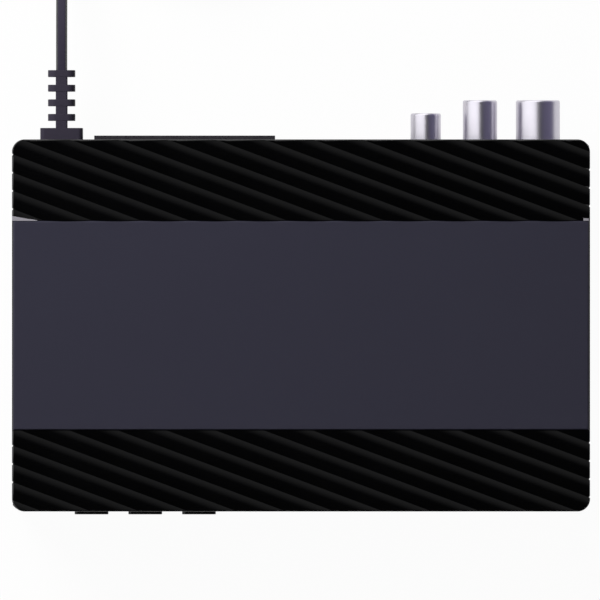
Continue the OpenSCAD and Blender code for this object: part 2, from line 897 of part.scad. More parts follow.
module crystal_can() {
  can = [11, 4.6, 3];
  can_gap = 8;
  end_flat = 0.1;
  rim = 0.5;
  rim_t = 0.7;
  lap = 0.1;
  color(nickel)
    translate([processor_mid[0] - heatsink_w / 2 - can_gap, processor_mid[1], z_deck]) {
      translate([0, 0, rim_t - lap])
        linear_extrude(can[2])
          rounded_rect(can[0], can[1], can[1] / 2 - end_flat);
      linear_extrude(rim_t)
        rounded_rect(can[0] + 2 * rim, can[1] + 2 * rim, can[1] / 2);
    }
}

// Tuner can: a folded steel box that carries both aerial connectors
module tuner_can() {
  past_out = 6.6;
  past_in = 5.1;
  left = antenna_out_x - past_out;
  right = antenna_in_x + past_in;
  inset = 3;
  lid_step = 0.4;
  color(nickel)
    translate([left, y_can - tuner_d, z_deck])
      difference() {
        cube([right - left, tuner_d, tuner_h]);
        translate([inset, inset, tuner_h - lid_step])
          cube([right - left - 2 * inset, tuner_d - 2 * inset, lid_step + past]);
      }
}

// Round sockets in the rear: each sleeve is closed a little inside the case's rear face
socket_web = 1;
socket_floor = y_rear - y_can;
antenna_mouth = antenna_len + socket_web;
audio_mouth = audio_len + socket_web;

// Aerial input: a wide sleeve round an insulated post whose contact takes a plug's pin
post_r = 3.1;
post_set = 1.6;
post_len = antenna_mouth - post_set;
contact_r = 1.9;
contact_set = 2;
contact_len = antenna_mouth - contact_set;
contact_bore = 1.25;
contact_floor = 2;
module antenna_in_shell() {
  reach = socket_floor + antenna_len;
  web = socket_floor - socket_web;
  color(nickel)
    translate([antenna_in_x, y_can, antenna_z])
      turned_along_y([
        [0, 0], [antenna_in_r + collar_t, 0], [antenna_in_r + collar_t, socket_floor],
        [antenna_in_r, socket_floor], [antenna_in_r, reach - rim_cut], [antenna_in_r - rim_cut, reach],
        [antenna_bore_r, reach], [antenna_bore_r, web], [0, web]
      ]);
}

module antenna_in_insulator() {
  seat_r = antenna_bore_r - seat_gap;
  hole_r = contact_r + seat_gap;
  color(cream)
    translate([antenna_in_x, y_rear - socket_web, antenna_z])
      turned_along_y([
        [hole_r, 0], [seat_r, 0], [seat_r, socket_web], [post_r, socket_web], [post_r, post_len],
        [hole_r, post_len]
      ]);
}

module antenna_in_contact() {
  color(brass)
    translate([antenna_in_x, y_rear - socket_web, antenna_z])
      turned_along_y([
        [0, 0], [contact_r, 0], [contact_r, contact_len], [contact_bore, contact_len],
        [contact_bore, contact_floor], [0, contact_floor]
      ]);
}

// Aerial loop-out: a thin sleeve round a bare pin
loop_wall = 0.6;
loop_bore_r = antenna_out_r - loop_wall;
signal_pin_r = 1.18;
signal_pin_set = 0.6;
signal_pin_len = antenna_mouth - signal_pin_set;
module antenna_out_shell() {
  reach = socket_floor + antenna_len;
  web = socket_floor - socket_web;
  color(nickel)
    translate([antenna_out_x, y_can, antenna_z])
      turned_along_y([
        [0, 0], [antenna_out_r + collar_t, 0], [antenna_out_r + collar_t, socket_floor],
        [antenna_out_r, socket_floor], [antenna_out_r, reach - rim_cut], [antenna_out_r - rim_cut, reach],
        [loop_bore_r, reach], [loop_bore_r, web], [0, web]
      ]);
}

module antenna_out_insulator() {
  thick = 3;
  seat_r = loop_bore_r - seat_gap;
  hole_r = signal_pin_r + seat_gap;
  color(cream)
    translate([antenna_out_x, y_rear - socket_web, antenna_z])
      turned_along_y([[hole_r, 0], [seat_r, 0], [seat_r, thick], [hole_r, thick]]);
}

module antenna_out_pin() {
  taper = [0.6, 0.8];
  color(brass)
    translate([antenna_out_x, y_rear - socket_web, antenna_z])
      turned_along_y([
        [0, 0], [signal_pin_r, 0], [signal_pin_r, signal_pin_len - taper[1]],
        [signal_pin_r - taper[0], signal_pin_len], [0, signal_pin_len]
      ]);
}

// Coaxial audio socket: a moulded block, a nickel sleeve and a lined contact
audio_wall = 0.5;
audio_bore_r = audio_r - audio_wall;
module audio_socket_body() {
  color(chip_black)
    translate([audio_x, y_can - audio_body[1] / 2, z_deck])
      standing_box(audio_body);
}

module audio_socket_shell() {
  reach = socket_floor + audio_len;
  web = socket_floor - socket_web;
  color(nickel)
    translate([audio_x, y_can, audio_z])
      turned_along_y([
        [0, 0], [audio_r + collar_t, 0], [audio_r + collar_t, socket_floor], [audio_r, socket_floor],
        [audio_r, reach - rim_cut], [audio_r - rim_cut / 2, reach], [audio_bore_r, reach],
        [audio_bore_r, web], [0, web]
      ]);
}

module audio_socket_contact() {
  liner_r = audio_bore_r - seat_gap;
  liner_set = 0.4;
  liner_len = audio_mouth - liner_set;
  pin_r = 1.65;
  bottom = 1;
  color([0.85, 0.4, 0.1])
    translate([audio_x, y_rear - socket_web, audio_z])
      turned_along_y([
        [0, 0], [liner_r, 0], [liner_r, liner_len], [pin_r, liner_len], [pin_r, bottom], [0, bottom]
      ]);
}

// HDMI socket: a steel shell with its lower corners cut off, and a tongue inside
mouth_set = 0.2;
hdmi_back = 1.5;
module hdmi_outline(gap) {
  w = hdmi_size[0] / 2 - gap;
  h = hdmi_size[2] - gap;
  cut = 1.6;
  polygon([[-w + cut, gap], [w - cut, gap], [w, gap + cut], [w, h], [-w, h], [-w, gap + cut]]);
}

module hdmi_shell() {
  color(nickel)
    translate([hdmi_x, y_rear - mouth_set, z_deck])
      rotate([90, 0, 0])
        difference() {
          linear_extrude(hdmi_size[1])
            hdmi_outline(0);
          translate([0, 0, -past])
            linear_extrude(hdmi_size[1] - hdmi_back + past)
              hdmi_outline(hdmi_wall);
        }
}

module hdmi_tongue() {
  tongue = [10.6, 8, 1.5];
  lift = 2.3;
  y = y_rear - mouth_set - hdmi_size[1] + hdmi_back + tongue[1] / 2;
  color(chip_black)
    translate([hdmi_x, y, z_deck + lift])
      standing_box(tongue);
}

// SCART socket: a block with a trench for the plug's skirt and two rows of ten slots
module scart_outline(grow) {
  w = scart_core[0] / 2 + grow;
  h = scart_core[1] / 2 + grow;
  cut = 2.4;
  polygon([[-w, -h], [w - cut, -h], [w, -h + cut], [w, h - cut], [w - cut, h], [-w, h]]);
}

module scart_slots(size, y, depth) {
  row_n = 10;
  shift = 0.5;
  for (row = [0, 1], k = [0:row_n - 1])
    translate([
      (k - (row_n - 1) / 2 + (row - 0.5) * shift) * scart_pitch - size[0] / 2,
      y,
      z_deck + scart_h / 2 + scart_rows[row] - size[1] / 2
    ])
      cube([size[0], depth, size[1]]);
}

module scart_housing() {
  face = y_rear + scart_proud;
  slot = [1.3, 3.4];
  color(dark_grey)
    translate([scart_mid, 0, 0])
      difference() {
        translate([0, face - scart_depth / 2, z_deck])
          standing_box([scart_w, scart_depth, scart_h]);
        translate([0, face + past, z_deck + scart_h / 2])
          rotate([90, 0, 0])
            linear_extrude(scart_trench + past)
              difference() {
                scart_outline(scart_groove);
                scart_outline(0);
              }
        scart_slots(slot, face - scart_trench, scart_trench + past);
      }
}

module scart_contacts() {
  blade = [0.7, 2.6];
  blade_set = 1.5;
  color(nickel)
    translate([scart_mid, 0, 0])
      scart_slots(blade, y_rear + scart_proud - scart_trench, scart_trench - blade_set);
}

// Front USB socket: a folded steel shell with a tongue inside
usb_back = 2;
y_usb = y_front + mouth_set;
module usb_shell() {
  color(nickel)
    translate([usb_mid, y_usb + usb_size[1] / 2, z_deck])
      difference() {
        standing_box(usb_size);
        translate([0, -usb_back, usb_wall])
          standing_box([usb_size[0] - 2 * usb_wall, usb_size[1], usb_size[2] - 2 * usb_wall]);
      }
}

module usb_tongue() {
  tongue = [11, 9, 1.9];
  lift = 3;
  color([0.9, 0.9, 0.92])
    translate([usb_mid, y_usb + usb_size[1] - usb_back - tongue[1] / 2, z_deck + lift])
      standing_box(tongue);
}

// Power section along the left side: terminal, leads, fuse, choke, capacitors and transformer
y_inner_flange = y_rear_lip - inner_flange_t;
terminal_ahead = 14;
y_terminal = y_rear_lip - terminal_ahead;
module mains_terminal() {
  color(cream)
    translate([power_x, y_terminal, z_deck])
      standing_box(terminal_size);
}

module mains_leads() {
  y0 = y_terminal + terminal_size[1] / 2;
  color([0.35, 0.2, 0.12])
    for (side = [-1, 1])
      translate([power_x + side * lead_pitch / 2, y0, z_relief])
        rotate([-90, 0, 0])
          cylinder(h = y_inner_flange - y0, r = lead_r);
}

fuse_lift = 1.2;
fuse_z = z_deck + fuse_r + fuse_lift;
module mains_fuse() {
  cap_len = 5;
  cap_t = 0.3;
  color([0.85, 0.88, 0.9])
    translate([power_x, y_fuse - fuse_len / 2, fuse_z])
      rotate([-90, 0, 0]) {
        translate([0, 0, cap_len / 2])
          cylinder(h = fuse_len - cap_len, r = fuse_r - cap_t);
        for (z = [0, fuse_len - cap_len])
          translate([0, 0, z])
            cylinder(h = cap_len, r = fuse_r);
      }
}

module fuse_clips() {
  clip = [6.6, 4, 6];
  clip_inset = 2.4;
  mouth_lift = 0.6;
  grip = 0.3;
  color(brass)
    for (side = [-1, 1])
      translate([power_x, y_fuse + side * (fuse_len / 2 - clip_inset), z_deck])
        difference() {
          standing_box(clip);
          translate([0, -clip[1], fuse_z - z_deck])
            rotate([-90, 0, 0])
              cylinder(h = 2 * clip[1], r = fuse_r + seat_gap);
          translate([0, 0, fuse_z - z_deck + mouth_lift])
            standing_box([2 * (fuse_r - grip), 2 * clip[1], clip[2]]);
        }
}

module line_choke() {
  core = [4, 5];
  winding = 0.9;
  winding_angle = 100;
  color(copper)
    translate([power_x, y_choke, z_deck]) {
      translate([0, 0, winding])
        rotate_extrude()
          translate([choke_r - core[0], 0])
            square(core);
      for (a = [0, 180])
        rotate(a - winding_angle / 2)
          rotate_extrude(angle = winding_angle)
            translate([choke_r - core[0] - winding, 0])
              square([core[0] + 2 * winding, core[1] + 2 * winding]);
    }
}

module mains_capacitor() {
  bead = 0.8;
  color([0.1, 0.1, 0.2])
    translate([power_x, y_mains_cap, z_deck])
      rotate_extrude()
        polygon([
          [0, 0], [mains_cap_r - bead, 0], [mains_cap_r, bead], [mains_cap_r, mains_cap_h - bead],
          [mains_cap_r - bead, mains_cap_h], [0, mains_cap_h]
        ]);
}

// Transformer: a ferrite frame round the wound middle of a bobbin
module transformer_core() {
  leg_gap = 0.2;
  color([0.15, 0.15, 0.16])
    translate([transformer_mid[0], transformer_mid[1], z_deck + winding_x])
      difference() {
        standing_box([transformer[0], transformer[1], transformer[2] - 2 * winding_x]);
        translate([0, 0, -past])
          standing_box([transformer[0] + 2 * past, transformer[1] - 2 * core_arm + leg_gap, transformer[2]]);
      }
}

module transformer_bobbin() {
  color([0.85, 0.75, 0.35])
    translate([transformer_mid[0], transformer_mid[1], z_deck]) {
      standing_box([transformer[0] - 2 * bobbin_inset, transformer[1], winding_x]);
      standing_box([transformer[0] - 2 * bobbin_inset, transformer[1] - 2 * core_arm, transformer[2]]);
    }
}

module output_capacitors() {
  can_r = 4;
  can_h = 12;
  bead = 0.5;
  color([0.1, 0.12, 0.1])
    for (k = [-1:1])
      translate([transformer_mid[0] + output_cap_gap, transformer_mid[1] + k * output_cap_pitch, z_deck]) {
        cylinder(h = can_h - bead, r = can_r);
        cylinder(h = can_h, r = can_r - bead);
      }
}

// Strain relief: flanges on both faces of the rear panel, and four rings on a neck outside
module strain_relief() {
  y_core = y_inner_flange + inner_flange_t / 2;
  y_neck = y_rear + flange_t / 2;
  color(dark_grey)
    translate([power_x, 0, z_relief]) {
      upright_plate(flange_w, flange_h, relief_corner, y_rear, flange_t);
      upright_plate(ring_w, ring_h, relief_corner, y_core, y_rear + flange_t / 2 - y_core);
      upright_plate(inner_flange_w, ring_h + 2 * inner_flange_lip, relief_corner, y_inner_flange,
        inner_flange_t);
      upright_plate(neck_w, neck_h, neck_corner, y_neck, cord_exit[1] - ring_t / 2 - y_neck);
      for (k = [0:ring_n - 1])
        upright_plate(ring_w, ring_h, relief_corner, cord_exit[1] - ring_t - k * ring_pitch, ring_t);
    }
}

// The flat mains lead: its run to the floor, its coil, its tail and the tie round the coil
module mains_cord() {
  color(case_black)
    tube(lead_path, cord_section);
}

module cord_coil() {
  color(case_black)
    tube(coil_path, coil_section);
}

module cord_tail() {
  color(case_black)
    tube(tail_path, cord_section);
}

module cord_tie() {
  tie_turn = 0.75;
  slack = [0.6, 0.3];
  passes = [for (k = [0:floor(coil_turns - tie_turn)]) coil_radius(tie_turn + k)];
  inner = min(passes) - cord_t / 2 - slack[0];
  outer = max(passes) + cord_t / 2 + slack[1];
  z0 = coil_mid[2] - cord_w / 2 - tie_gap;
  z1 = coil_mid[2] + coil_layer + cord_w / 2 + tie_gap;
  color(case_black)
    translate([coil_mid[0], coil_mid[1], 0])
      difference() {
        translate([-tie_w / 2, -outer - tie_t, z0 - tie_t])
          cube([tie_w, outer - inner + 2 * tie_t, z1 - z0 + 2 * tie_t]);
        translate([-tie_w, -outer, z0])
          cube([2 * tie_w, outer - inner, z1 - z0]);
      }
}

// Flat two-pin plug that lies beside the coil, with a tapered sleeve round the cord
module mains_plug() {
  neck_r = [3, 4.5];
  shoulder = 8;
  flare = 10;
  corner = 3;
  half = plug_w / 2;
  color(case_black)
    translate([plug_start[0], plug_start[1], plug_z]) {
      rotate([0, 90, 0])
        cylinder(h = plug_relief + past, r1 = neck_r[0], r2 = neck_r[1]);
      translate([plug_relief, 0, -plug_t / 2])
        linear_extrude(plug_t)
          polygon([
            [0, -shoulder], [flare, -half], [plug_len - corner, -half], [plug_len, -half + corner],
            [plug_len, half - corner], [plug_len - corner, half], [flare, half], [0, shoulder]
          ]);
    }
}

module plug_pins() {
  tip = 1;
  color(nickel)
    for (side = [-1, 1])
      translate([plug_start[0] + plug_relief + plug_len, plug_start[1] + side * pin_pitch / 2, plug_z])
        rotate([0, 90, 0]) {
          cylinder(h = pin_len - tip, r = pin_d / 2);
          translate([0, 0, pin_len - tip])
            cylinder(h = tip, r1 = pin_d / 2, r2 = pin_d / 2 - tip);
        }
}

bottom_case();
top_cover();
top_panel();
panel_backing();
front_panel();
display_window();
rear_panel();
rubber_feet();
case_screws();
board_screws();
key_power();
key_channel_down();
key_channel_up();
plunger_power();
plunger_channel_down();
plunger_channel_up();
switch_housings();
front_board();
front_header();
led_display();
infrared_receiver();
standby_light();
main_board();
processor();
heatsink();
memory_chips();
crystal_can();
tuner_can();
antenna_in_shell();
antenna_in_insulator();
antenna_in_contact();
antenna_out_shell();
antenna_out_insulator();
antenna_out_pin();
audio_socket_body();
audio_socket_shell();
audio_socket_contact();
hdmi_shell();
hdmi_tongue();
scart_housing();
scart_contacts();
usb_shell();
usb_tongue();
mains_terminal();
mains_leads();
mains_fuse();
fuse_clips();
line_choke();
mains_capacitor();
transformer_core();
transformer_bobbin();
output_capacitors();
strain_relief();
mains_cord();
cord_coil();
cord_tail();
cord_tie();
mains_plug();
plug_pins();
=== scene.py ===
from math import cos, pi, radians, sin, sqrt

import bmesh
import bpy
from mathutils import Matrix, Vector


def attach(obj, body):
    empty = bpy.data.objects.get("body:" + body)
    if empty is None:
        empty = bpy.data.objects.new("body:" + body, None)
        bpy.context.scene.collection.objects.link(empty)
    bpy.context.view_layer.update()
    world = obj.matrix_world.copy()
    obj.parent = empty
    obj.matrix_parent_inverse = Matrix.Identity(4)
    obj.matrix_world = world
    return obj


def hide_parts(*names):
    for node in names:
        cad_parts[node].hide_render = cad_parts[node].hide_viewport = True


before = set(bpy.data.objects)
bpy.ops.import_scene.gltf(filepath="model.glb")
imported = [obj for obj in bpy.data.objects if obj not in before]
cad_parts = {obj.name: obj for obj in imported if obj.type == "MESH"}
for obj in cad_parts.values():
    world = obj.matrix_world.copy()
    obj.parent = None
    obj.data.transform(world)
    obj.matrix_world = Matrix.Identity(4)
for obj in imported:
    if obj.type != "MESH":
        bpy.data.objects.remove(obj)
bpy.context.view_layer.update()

# The set. The receiver lies on a white sheet and is seen from straight above through a very long lens.
# One soft light stands close by, at its rear left.
MM = 0.001
camera_height, seen_width, sensor_width = 7400, 166.06, 36
view_x, view_y, case_top = -0.28, 2.04, 36
camera = bpy.data.objects.new("overhead_camera", bpy.data.cameras.new("overhead_camera"))
camera.data.sensor_width = sensor_width
camera.data.lens = sensor_width * camera_height / seen_width
camera.data.clip_end = 20
camera.location = Vector((view_x, view_y, camera_height + case_top)) * MM
bpy.context.scene.collection.objects.link(camera)
bpy.context.scene.camera = camera
bpy.context.scene.view_settings.view_transform = "Standard"

lamp = bpy.data.lights.new("rear_left_light", "AREA")
lamp.size = 0.35
lamp.energy = 5.1
stand = bpy.data.objects.new("rear_left_light", lamp)
stand.location = (-0.38, 0.45, 0.42)
stand.rotation_euler = (-stand.location).to_track_quat("-Z", "Y").to_euler()
stand.visible_glossy = False
bpy.context.scene.collection.objects.link(stand)


class Shade:
    """One output of a shader node. Sums, differences, products and comparisons of it add Math nodes."""

    def __init__(self, socket):
        self.socket = socket

    def node(self, kind, inputs, output=0, **settings):
        """Adds a node beside this one: its settings first, then the values or links of its sockets."""
        made = self.socket.id_data.nodes.new("ShaderNode" + kind)
        for name, value in settings.items():
            setattr(made, name, value)
        for name, value in inputs.items():
            feed(value, made.inputs[name])
        return Shade(made.outputs[output])

    def maths(self, operation, first, second):
        return self.node("Math", {0: first, 1: second}, operation=operation)

    def __add__(self, other):
        return self.maths("ADD", self, other)

    __radd__ = __add__

    def __sub__(self, other):
        return self.maths("SUBTRACT", self, other)

    def __rsub__(self, other):
        return self.maths("SUBTRACT", other, self)

    def __mul__(self, other):
        return self.maths("MULTIPLY", self, other)

    def __gt__(self, other):
        return self.maths("GREATER_THAN", self, other)

    def __lt__(self, other):
        return self.maths("LESS_THAN", self, other)

    def noise(self, scale, detail=2):
        return self.node("TexNoise", {"Vector": self, "Scale": scale, "Detail": detail})

    def along(self, direction):
        """How far a point lies along a direction."""
        return self.node("VectorMath", {0: self, 1: direction}, output=1, operation="DOT_PRODUCT")

    def ramp(self, low, high, first=0.0, last=1.0):
        """Goes smoothly from a first to a last value while this one goes from low to high."""
        ends = {"Value": self, "From Min": low, "From Max": high, "To Min": first, "To Max": last}
        return self.node("MapRange", ends, interpolation_type="SMOOTHSTEP")

    def tint(self, first, second):
        return self.node("Mix", {0: self, 6: first, 7: second}, output=2, data_type="RGBA")

    def bump(self, depth):
        return self.node("Bump", {"Strength": 1.0, "Distance": depth * MM, "Height": self})


def feed(value, socket):
    """Links a shade to a socket, or sets the socket to a plain value."""
    if isinstance(value, Shade):
        socket.id_data.links.new(value.socket, socket)
    else:
        socket.default_value = value


def paint(*seen):
    """The linear colour of a finish that is seen as red, green and blue from 0 to 255."""
    return [((v / 255 + 0.055) / 1.055) ** 2.4 if v > 10 else v / 255 / 12.92 for v in seen] + [1]


# The room: white where the camera looks and dim for matt surfaces. Gloss and metal reflect a bright
# card on the left that reaches round to the rear, a weak glow at the rear and a weaker one at the right.
room = bpy.data.worlds.new("studio_room")
room.use_nodes = True
bpy.context.scene.world = room
rays = room.node_tree.nodes.new("ShaderNodeLightPath").outputs
sky = Shade(room.node_tree.nodes.new("ShaderNodeTexCoord").outputs["Generated"])
seen_ray = Shade(rays["Is Camera Ray"])
gloss_ray = Shade(rays["Is Glossy Ray"])
to_rear, to_right, upwards = Vector((0.35, 0.937, 0)), Vector((0.937, -0.35, 0)), Vector((0, 0, 1))
right_strength, card_strength = 0.11, 1.4
rear_glow = sky.along(to_rear).ramp(0.0, 0.85, 0.012, 0.25)
right_glow = sky.along(to_right).ramp(0.1, 0.4)
left_card = sky.along(-to_right).ramp(0.03, 0.15)
dome = sky.along(upwards).ramp(0.2, 0.7, 0.0, 0.19)
mirrored_room = rear_glow + right_glow * right_strength + left_card * card_strength
background = room.node_tree.nodes["Background"].inputs
feed((gloss_ray * right_glow).tint((1, 1, 1, 1), (0.7, 0.65, 1, 1)), background["Color"])
feed(seen_ray + gloss_ray * mirrored_room + (1 - seen_ray - gloss_ray) * dome, background["Strength"])

# The sheet: plain white paper under the receiver. Nearly all of its white is its own where it is seen,
# and the rest takes the shadow.
sheet_size, own_white, mirrored_white = 8, 0.965, 0.6
bpy.ops.object.select_all(action="DESELECT")
bpy.ops.mesh.primitive_plane_add(size=sheet_size)
sheet = bpy.context.object
sheet.name = "white_sheet"
paper = bpy.data.materials.new("white_paper")
paper.use_nodes = True
nodes = paper.node_tree.nodes
rays = nodes.new("ShaderNodeLightPath").outputs
matt = nodes["Principled BSDF"]
grain = Shade(nodes.new("ShaderNodeTexCoord").outputs["Object"]).noise(300)
feed(0.0, matt.inputs["Specular IOR Level"])
feed(1.0, matt.inputs["Roughness"])
glow = Shade(nodes.new("ShaderNodeEmission").outputs[0])
feed((1, 1, 1, 1), glow.socket.node.inputs["Color"])
mirrored = Shade(rays["Is Glossy Ray"]) + Shade(rays["Is Transmission Ray"])
seen = Shade(rays["Is Camera Ray"])
fibres = grain.tint(paint(246, 245, 246), paint(250, 249, 250))
feed((seen + mirrored).tint(paint(110, 110, 110), fibres), matt.inputs["Base Color"])
glowing = seen * own_white + mirrored * mirrored_white
white = seen.node("MixShader", {0: glowing, 1: Shade(matt.outputs[0]), 2: glow})
feed(white, nodes["Material Output"].inputs["Surface"])
sheet.data.materials.append(paper)

# Mains lead: flat black twin lead, two stranded cores side by side in soft PVC, laid on edge. Its narrow top
# and bottom are painted grey and its sides near black, as painted light and shade. It leaves the rear panel
# level, sinks to the table and is wound in seven turns for storage.
aside, lead_drop = 0.08, 12.6
lead_exit = Vector((aside - 66.5, 65.8, 16.0))
sink = [
    (0, 0), (6, 0), (12, 0.06), (18, 0.2), (24, 0.4), (30, 0.6), (36, 0.8), (42, 0.94), (48, 1), (55, 1)
]
route = [lead_exit + Vector((0, ahead, -lead_drop * share)) for ahead, share in sink]


def ease(u):
    """A smooth step from 0 to 1."""
    u = min(max(u, 0), 1)
    return u * u * (3 - 2 * u)


coil_reach, coil_turns, turn_step, layer_step = 35, 7.375, 3.6, 5.5
rings_a_turn, climb, coil_straight = 24, 0.5, 5
coil_middle = lead_exit + Vector((coil_reach, sink[-1][0] + coil_straight, -lead_drop))
for step in range(int(coil_turns * rings_a_turn) + 1):
    turn = step / rings_a_turn
    past_middle = turn - coil_turns / 2
    wound_in = turn_step * (coil_turns / 2 - abs(past_middle))
    dip = turn_step / 2 * ease((climb - abs(past_middle)) * 2 / climb)
    reach = coil_reach - wound_in - dip
    angle = pi - 2 * pi * turn
    lift = layer_step * ease(past_middle / climb + 0.5)
    route.append(coil_middle + Vector((reach * cos(angle), reach * sin(angle), lift)))
tail_turn, tail_drop = pi - 2 * pi * coil_turns, 1.95
tail_start = coil_middle + Vector((coil_reach * cos(tail_turn) + coil_straight * sin(tail_turn),
                                   coil_reach * sin(tail_turn) - coil_straight * cos(tail_turn), layer_step))
tail = [
    (0, 0, 0), (4, -4, 0), (8, -7, 0.1), (12.5, -9.5, 0.4), (17.5, -11, 0.75), (23, -11.5, 1),
    (31 - aside, -11.5, 1)
]
route += [tail_start + Vector((x, y, -tail_drop * share)) for x, y, share in tail]

line, spans = [], 3
for before, start, end, after in zip(route[:1] + route, route, route[1:], route[2:] + route[-1:]):
    for step in range(spans):
        t = step / spans
        line.append(start * (1 + t * t * (2 * t - 3)) + end * (t * t * (3 - 2 * t))
                    + (end - before) / 2 * (t * (t - 1) ** 2) + (after - start) / 2 * (t * t * (t - 1)))
line.append(route[-1])

# The last value is the height above or below the section's middle beyond which the lead is painted grey as a
# painted sheen; nearer the middle its sides get painted shade.
quarter, sheen_edge_z = [(1.55, 0.25), (1.5, 0.7), (1.13, 2.2), (1.03, 2.41), (0.8, 2.5)], 2.3
lead_section = quarter + [(-x, z) for x, z in reversed(quarter)]
lead_section += [(-x, -z) for x, z in lead_section]

points, faces, across = [], [], len(lead_section)
for before, here, after in zip(line[:1] + line, line, line[1:] + line[-1:]):
    ahead = (after - before).normalized()
    side = ahead.cross(Vector((0, 0, 1))).normalized()
    above = side.cross(ahead)
    points += [(here + side * x + above * z) * MM for x, z in lead_section]
for ring in range(len(line) - 1):
    for spot in range(across):
        near, far = ring * across, (ring + 1) * across
        faces.append((near + spot, near + (spot + 1) % across, far + (spot + 1) % across, far + spot))
faces.append(list(reversed(range(across))))
faces.append(list(range(len(points) - across, len(points))))
lead_mesh = bpy.data.meshes.new("mains_lead")
lead_mesh.from_pydata(points, [], faces)
# A mask of painted light and shade: 1 on the lead's narrow top and bottom, painted grey as a sheen, 0 on its
# sides, painted near black as shade.
painted_sheen_mask = lead_mesh.attributes.new("painted_sheen_mask", "FLOAT", "POINT")
painted_sheen_mask.data.foreach_set("value", [float(abs(z) > sheen_edge_z) for x, z in lead_section] * len(line))
lead = bpy.data.objects.new("mains_lead", lead_mesh)
bpy.context.scene.collection.objects.link(lead)
bpy.ops.object.select_all(action="DESELECT")
bpy.context.view_layer.objects.active = lead
bpy.ops.object.mode_set(mode="EDIT")
bpy.ops.mesh.select_all(action="SELECT")
bpy.ops.mesh.normals_make_consistent(inside=False)


def open_finish(name, **fixed):
    """Starts a material: its shader, set where it is the same all over, and the piece's own coordinates."""
    material = bpy.data.materials.new(name)
    material.use_nodes = True
    shader = material.node_tree.nodes["Principled BSDF"]
    for socket, value in fixed.items():
        shader.inputs[socket.replace("_", " ")].default_value = value
    place = Shade(material.node_tree.nodes.new("ShaderNodeTexCoord").outputs["Object"])
    return material, shader.inputs, place


def moulded(name, colour, second, roughness, grain, depth, **fixed):
    """Plastic or rubber from a mould: two near shades in soft clouds, uneven gloss and a fine grain."""
    material, sockets, place = open_finish(name, **fixed)
    cloud = place.noise(70, 3)
    fine = place.noise(grain, 3)
    feed(cloud.tint(colour, second), sockets["Base Color"])
    feed(roughness + (cloud - 0.5) * 0.1 + (fine - 0.5) * 0.12, sockets["Roughness"])
    feed(fine.bump(depth), sockets["Normal"])
    return material


def fit(piece, finish, body, slot, *nodes, angle=35):
    """Closes a piece: smooth between its edges, with its finish, its body and the solids it stands for."""
    bpy.ops.object.mode_set(mode="OBJECT")
    bpy.ops.object.select_all(action="DESELECT")
    bpy.context.view_layer.objects.active = piece
    piece.select_set(True)
    bpy.ops.object.shade_smooth_by_angle(angle=radians(angle))
    level = piece.modifiers.new("level_faces", "WEIGHTED_NORMAL")
    level.keep_sharp = True
    bpy.ops.object.modifier_apply(modifier=level.name)
    piece.data.materials.clear()
    piece.data.materials.append(finish)
    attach(piece, body)
    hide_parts(*nodes)


soft_pvc, sockets, place = open_finish("soft_black_pvc", Specular_IOR_Level=0.15)
# Painted light and shade: grey on the lead's top and bottom, near black on its sides.
face = place.node("Attribute", {}, output="Fac", attribute_name="painted_sheen_mask").ramp(0.0, 1.0)
cloud = place.noise(70, 3)
fine = place.noise(900, 3)
feed(face.tint(paint(6, 6, 7), cloud.tint(paint(57, 53, 67), paint(53, 49, 63))), sockets["Base Color"])
feed(0.42 + (cloud - 0.5) * 0.1 + (fine - 0.5) * 0.12, sockets["Roughness"])
feed(fine.bump(0.02), sockets["Normal"])
fit(lead, soft_pvc, "case", "cord_black", "mains_cord", "cord_coil", "cord_tail")

# Strain relief: a soft dark grey PVC bush moulded round the lead and snapped into the rear panel.
# A square flange stands on the panel, and slots cut from both sides leave four rings on a thin web.


def add_piece(name, primitive, **size):
    """Adds a primitive at its size and place, under its name, and opens it for editing."""
    if bpy.context.mode != "OBJECT":
        bpy.ops.object.mode_set(mode="OBJECT")
    bpy.ops.object.select_all(action="DESELECT")
    primitive(**size)
    piece = bpy.context.object
    piece.name = piece.data.name = name
    bpy.ops.object.transform_apply(location=True, rotation=True, scale=True)
    bpy.ops.object.mode_set(mode="EDIT")
    return piece


def middle(item):
    """The middle of a face or an edge, or a point itself, in millimetres."""
    corners = getattr(item, "verts", [item])
    return sum((corner.co for corner in corners), Vector()) / len(corners) / MM


def pick(kind, test):
    """Selects only those faces, edges or points of the open mesh that pass a test."""
    bpy.ops.mesh.select_mode(type=kind)
    bpy.ops.mesh.select_all(action="DESELECT")
    mesh = bmesh.from_edit_mesh(bpy.context.edit_object.data)
    for item in {"FACE": mesh.faces, "EDGE": mesh.edges, "VERT": mesh.verts}[kind]:
        item.select_set(bool(test(item)))
    bmesh.update_edit_mesh(bpy.context.edit_object.data)


def upright_block(name, centre, size, corner):
    """A block whose four edges along Y are rounded."""
    block = add_piece(name, bpy.ops.mesh.primitive_cube_add, size=1, location=Vector(centre) * MM,
                      scale=Vector(size) * MM)
    pick("EDGE", lambda edge: abs(edge.verts[0].co.y - edge.verts[1].co.y) > 1e-6)
    bpy.ops.mesh.bevel(offset=corner * MM, segments=5, affect="EDGES")
    return block


def soften(piece, width, steps=2):
    """Rounds a piece's sharp edges."""
    bpy.ops.object.mode_set(mode="OBJECT")
    rounding = piece.modifiers.new("rounding", "BEVEL")
    rounding.width, rounding.segments = width * MM, steps
    rounding.limit_method, rounding.angle_limit = "ANGLE", radians(40)
    bpy.ops.object.modifier_apply(modifier=rounding.name)


def joined(name, *pieces):
    """Joins meshes into one piece under a name."""
    bpy.ops.object.mode_set(mode="OBJECT")
    bpy.ops.object.select_all(action="DESELECT")
    for piece in pieces:
        piece.select_set(True)
    bpy.context.view_layer.objects.active = pieces[0]
    bpy.ops.object.join()
    pieces[0].name = pieces[0].data.name = name
    return pieces[0]


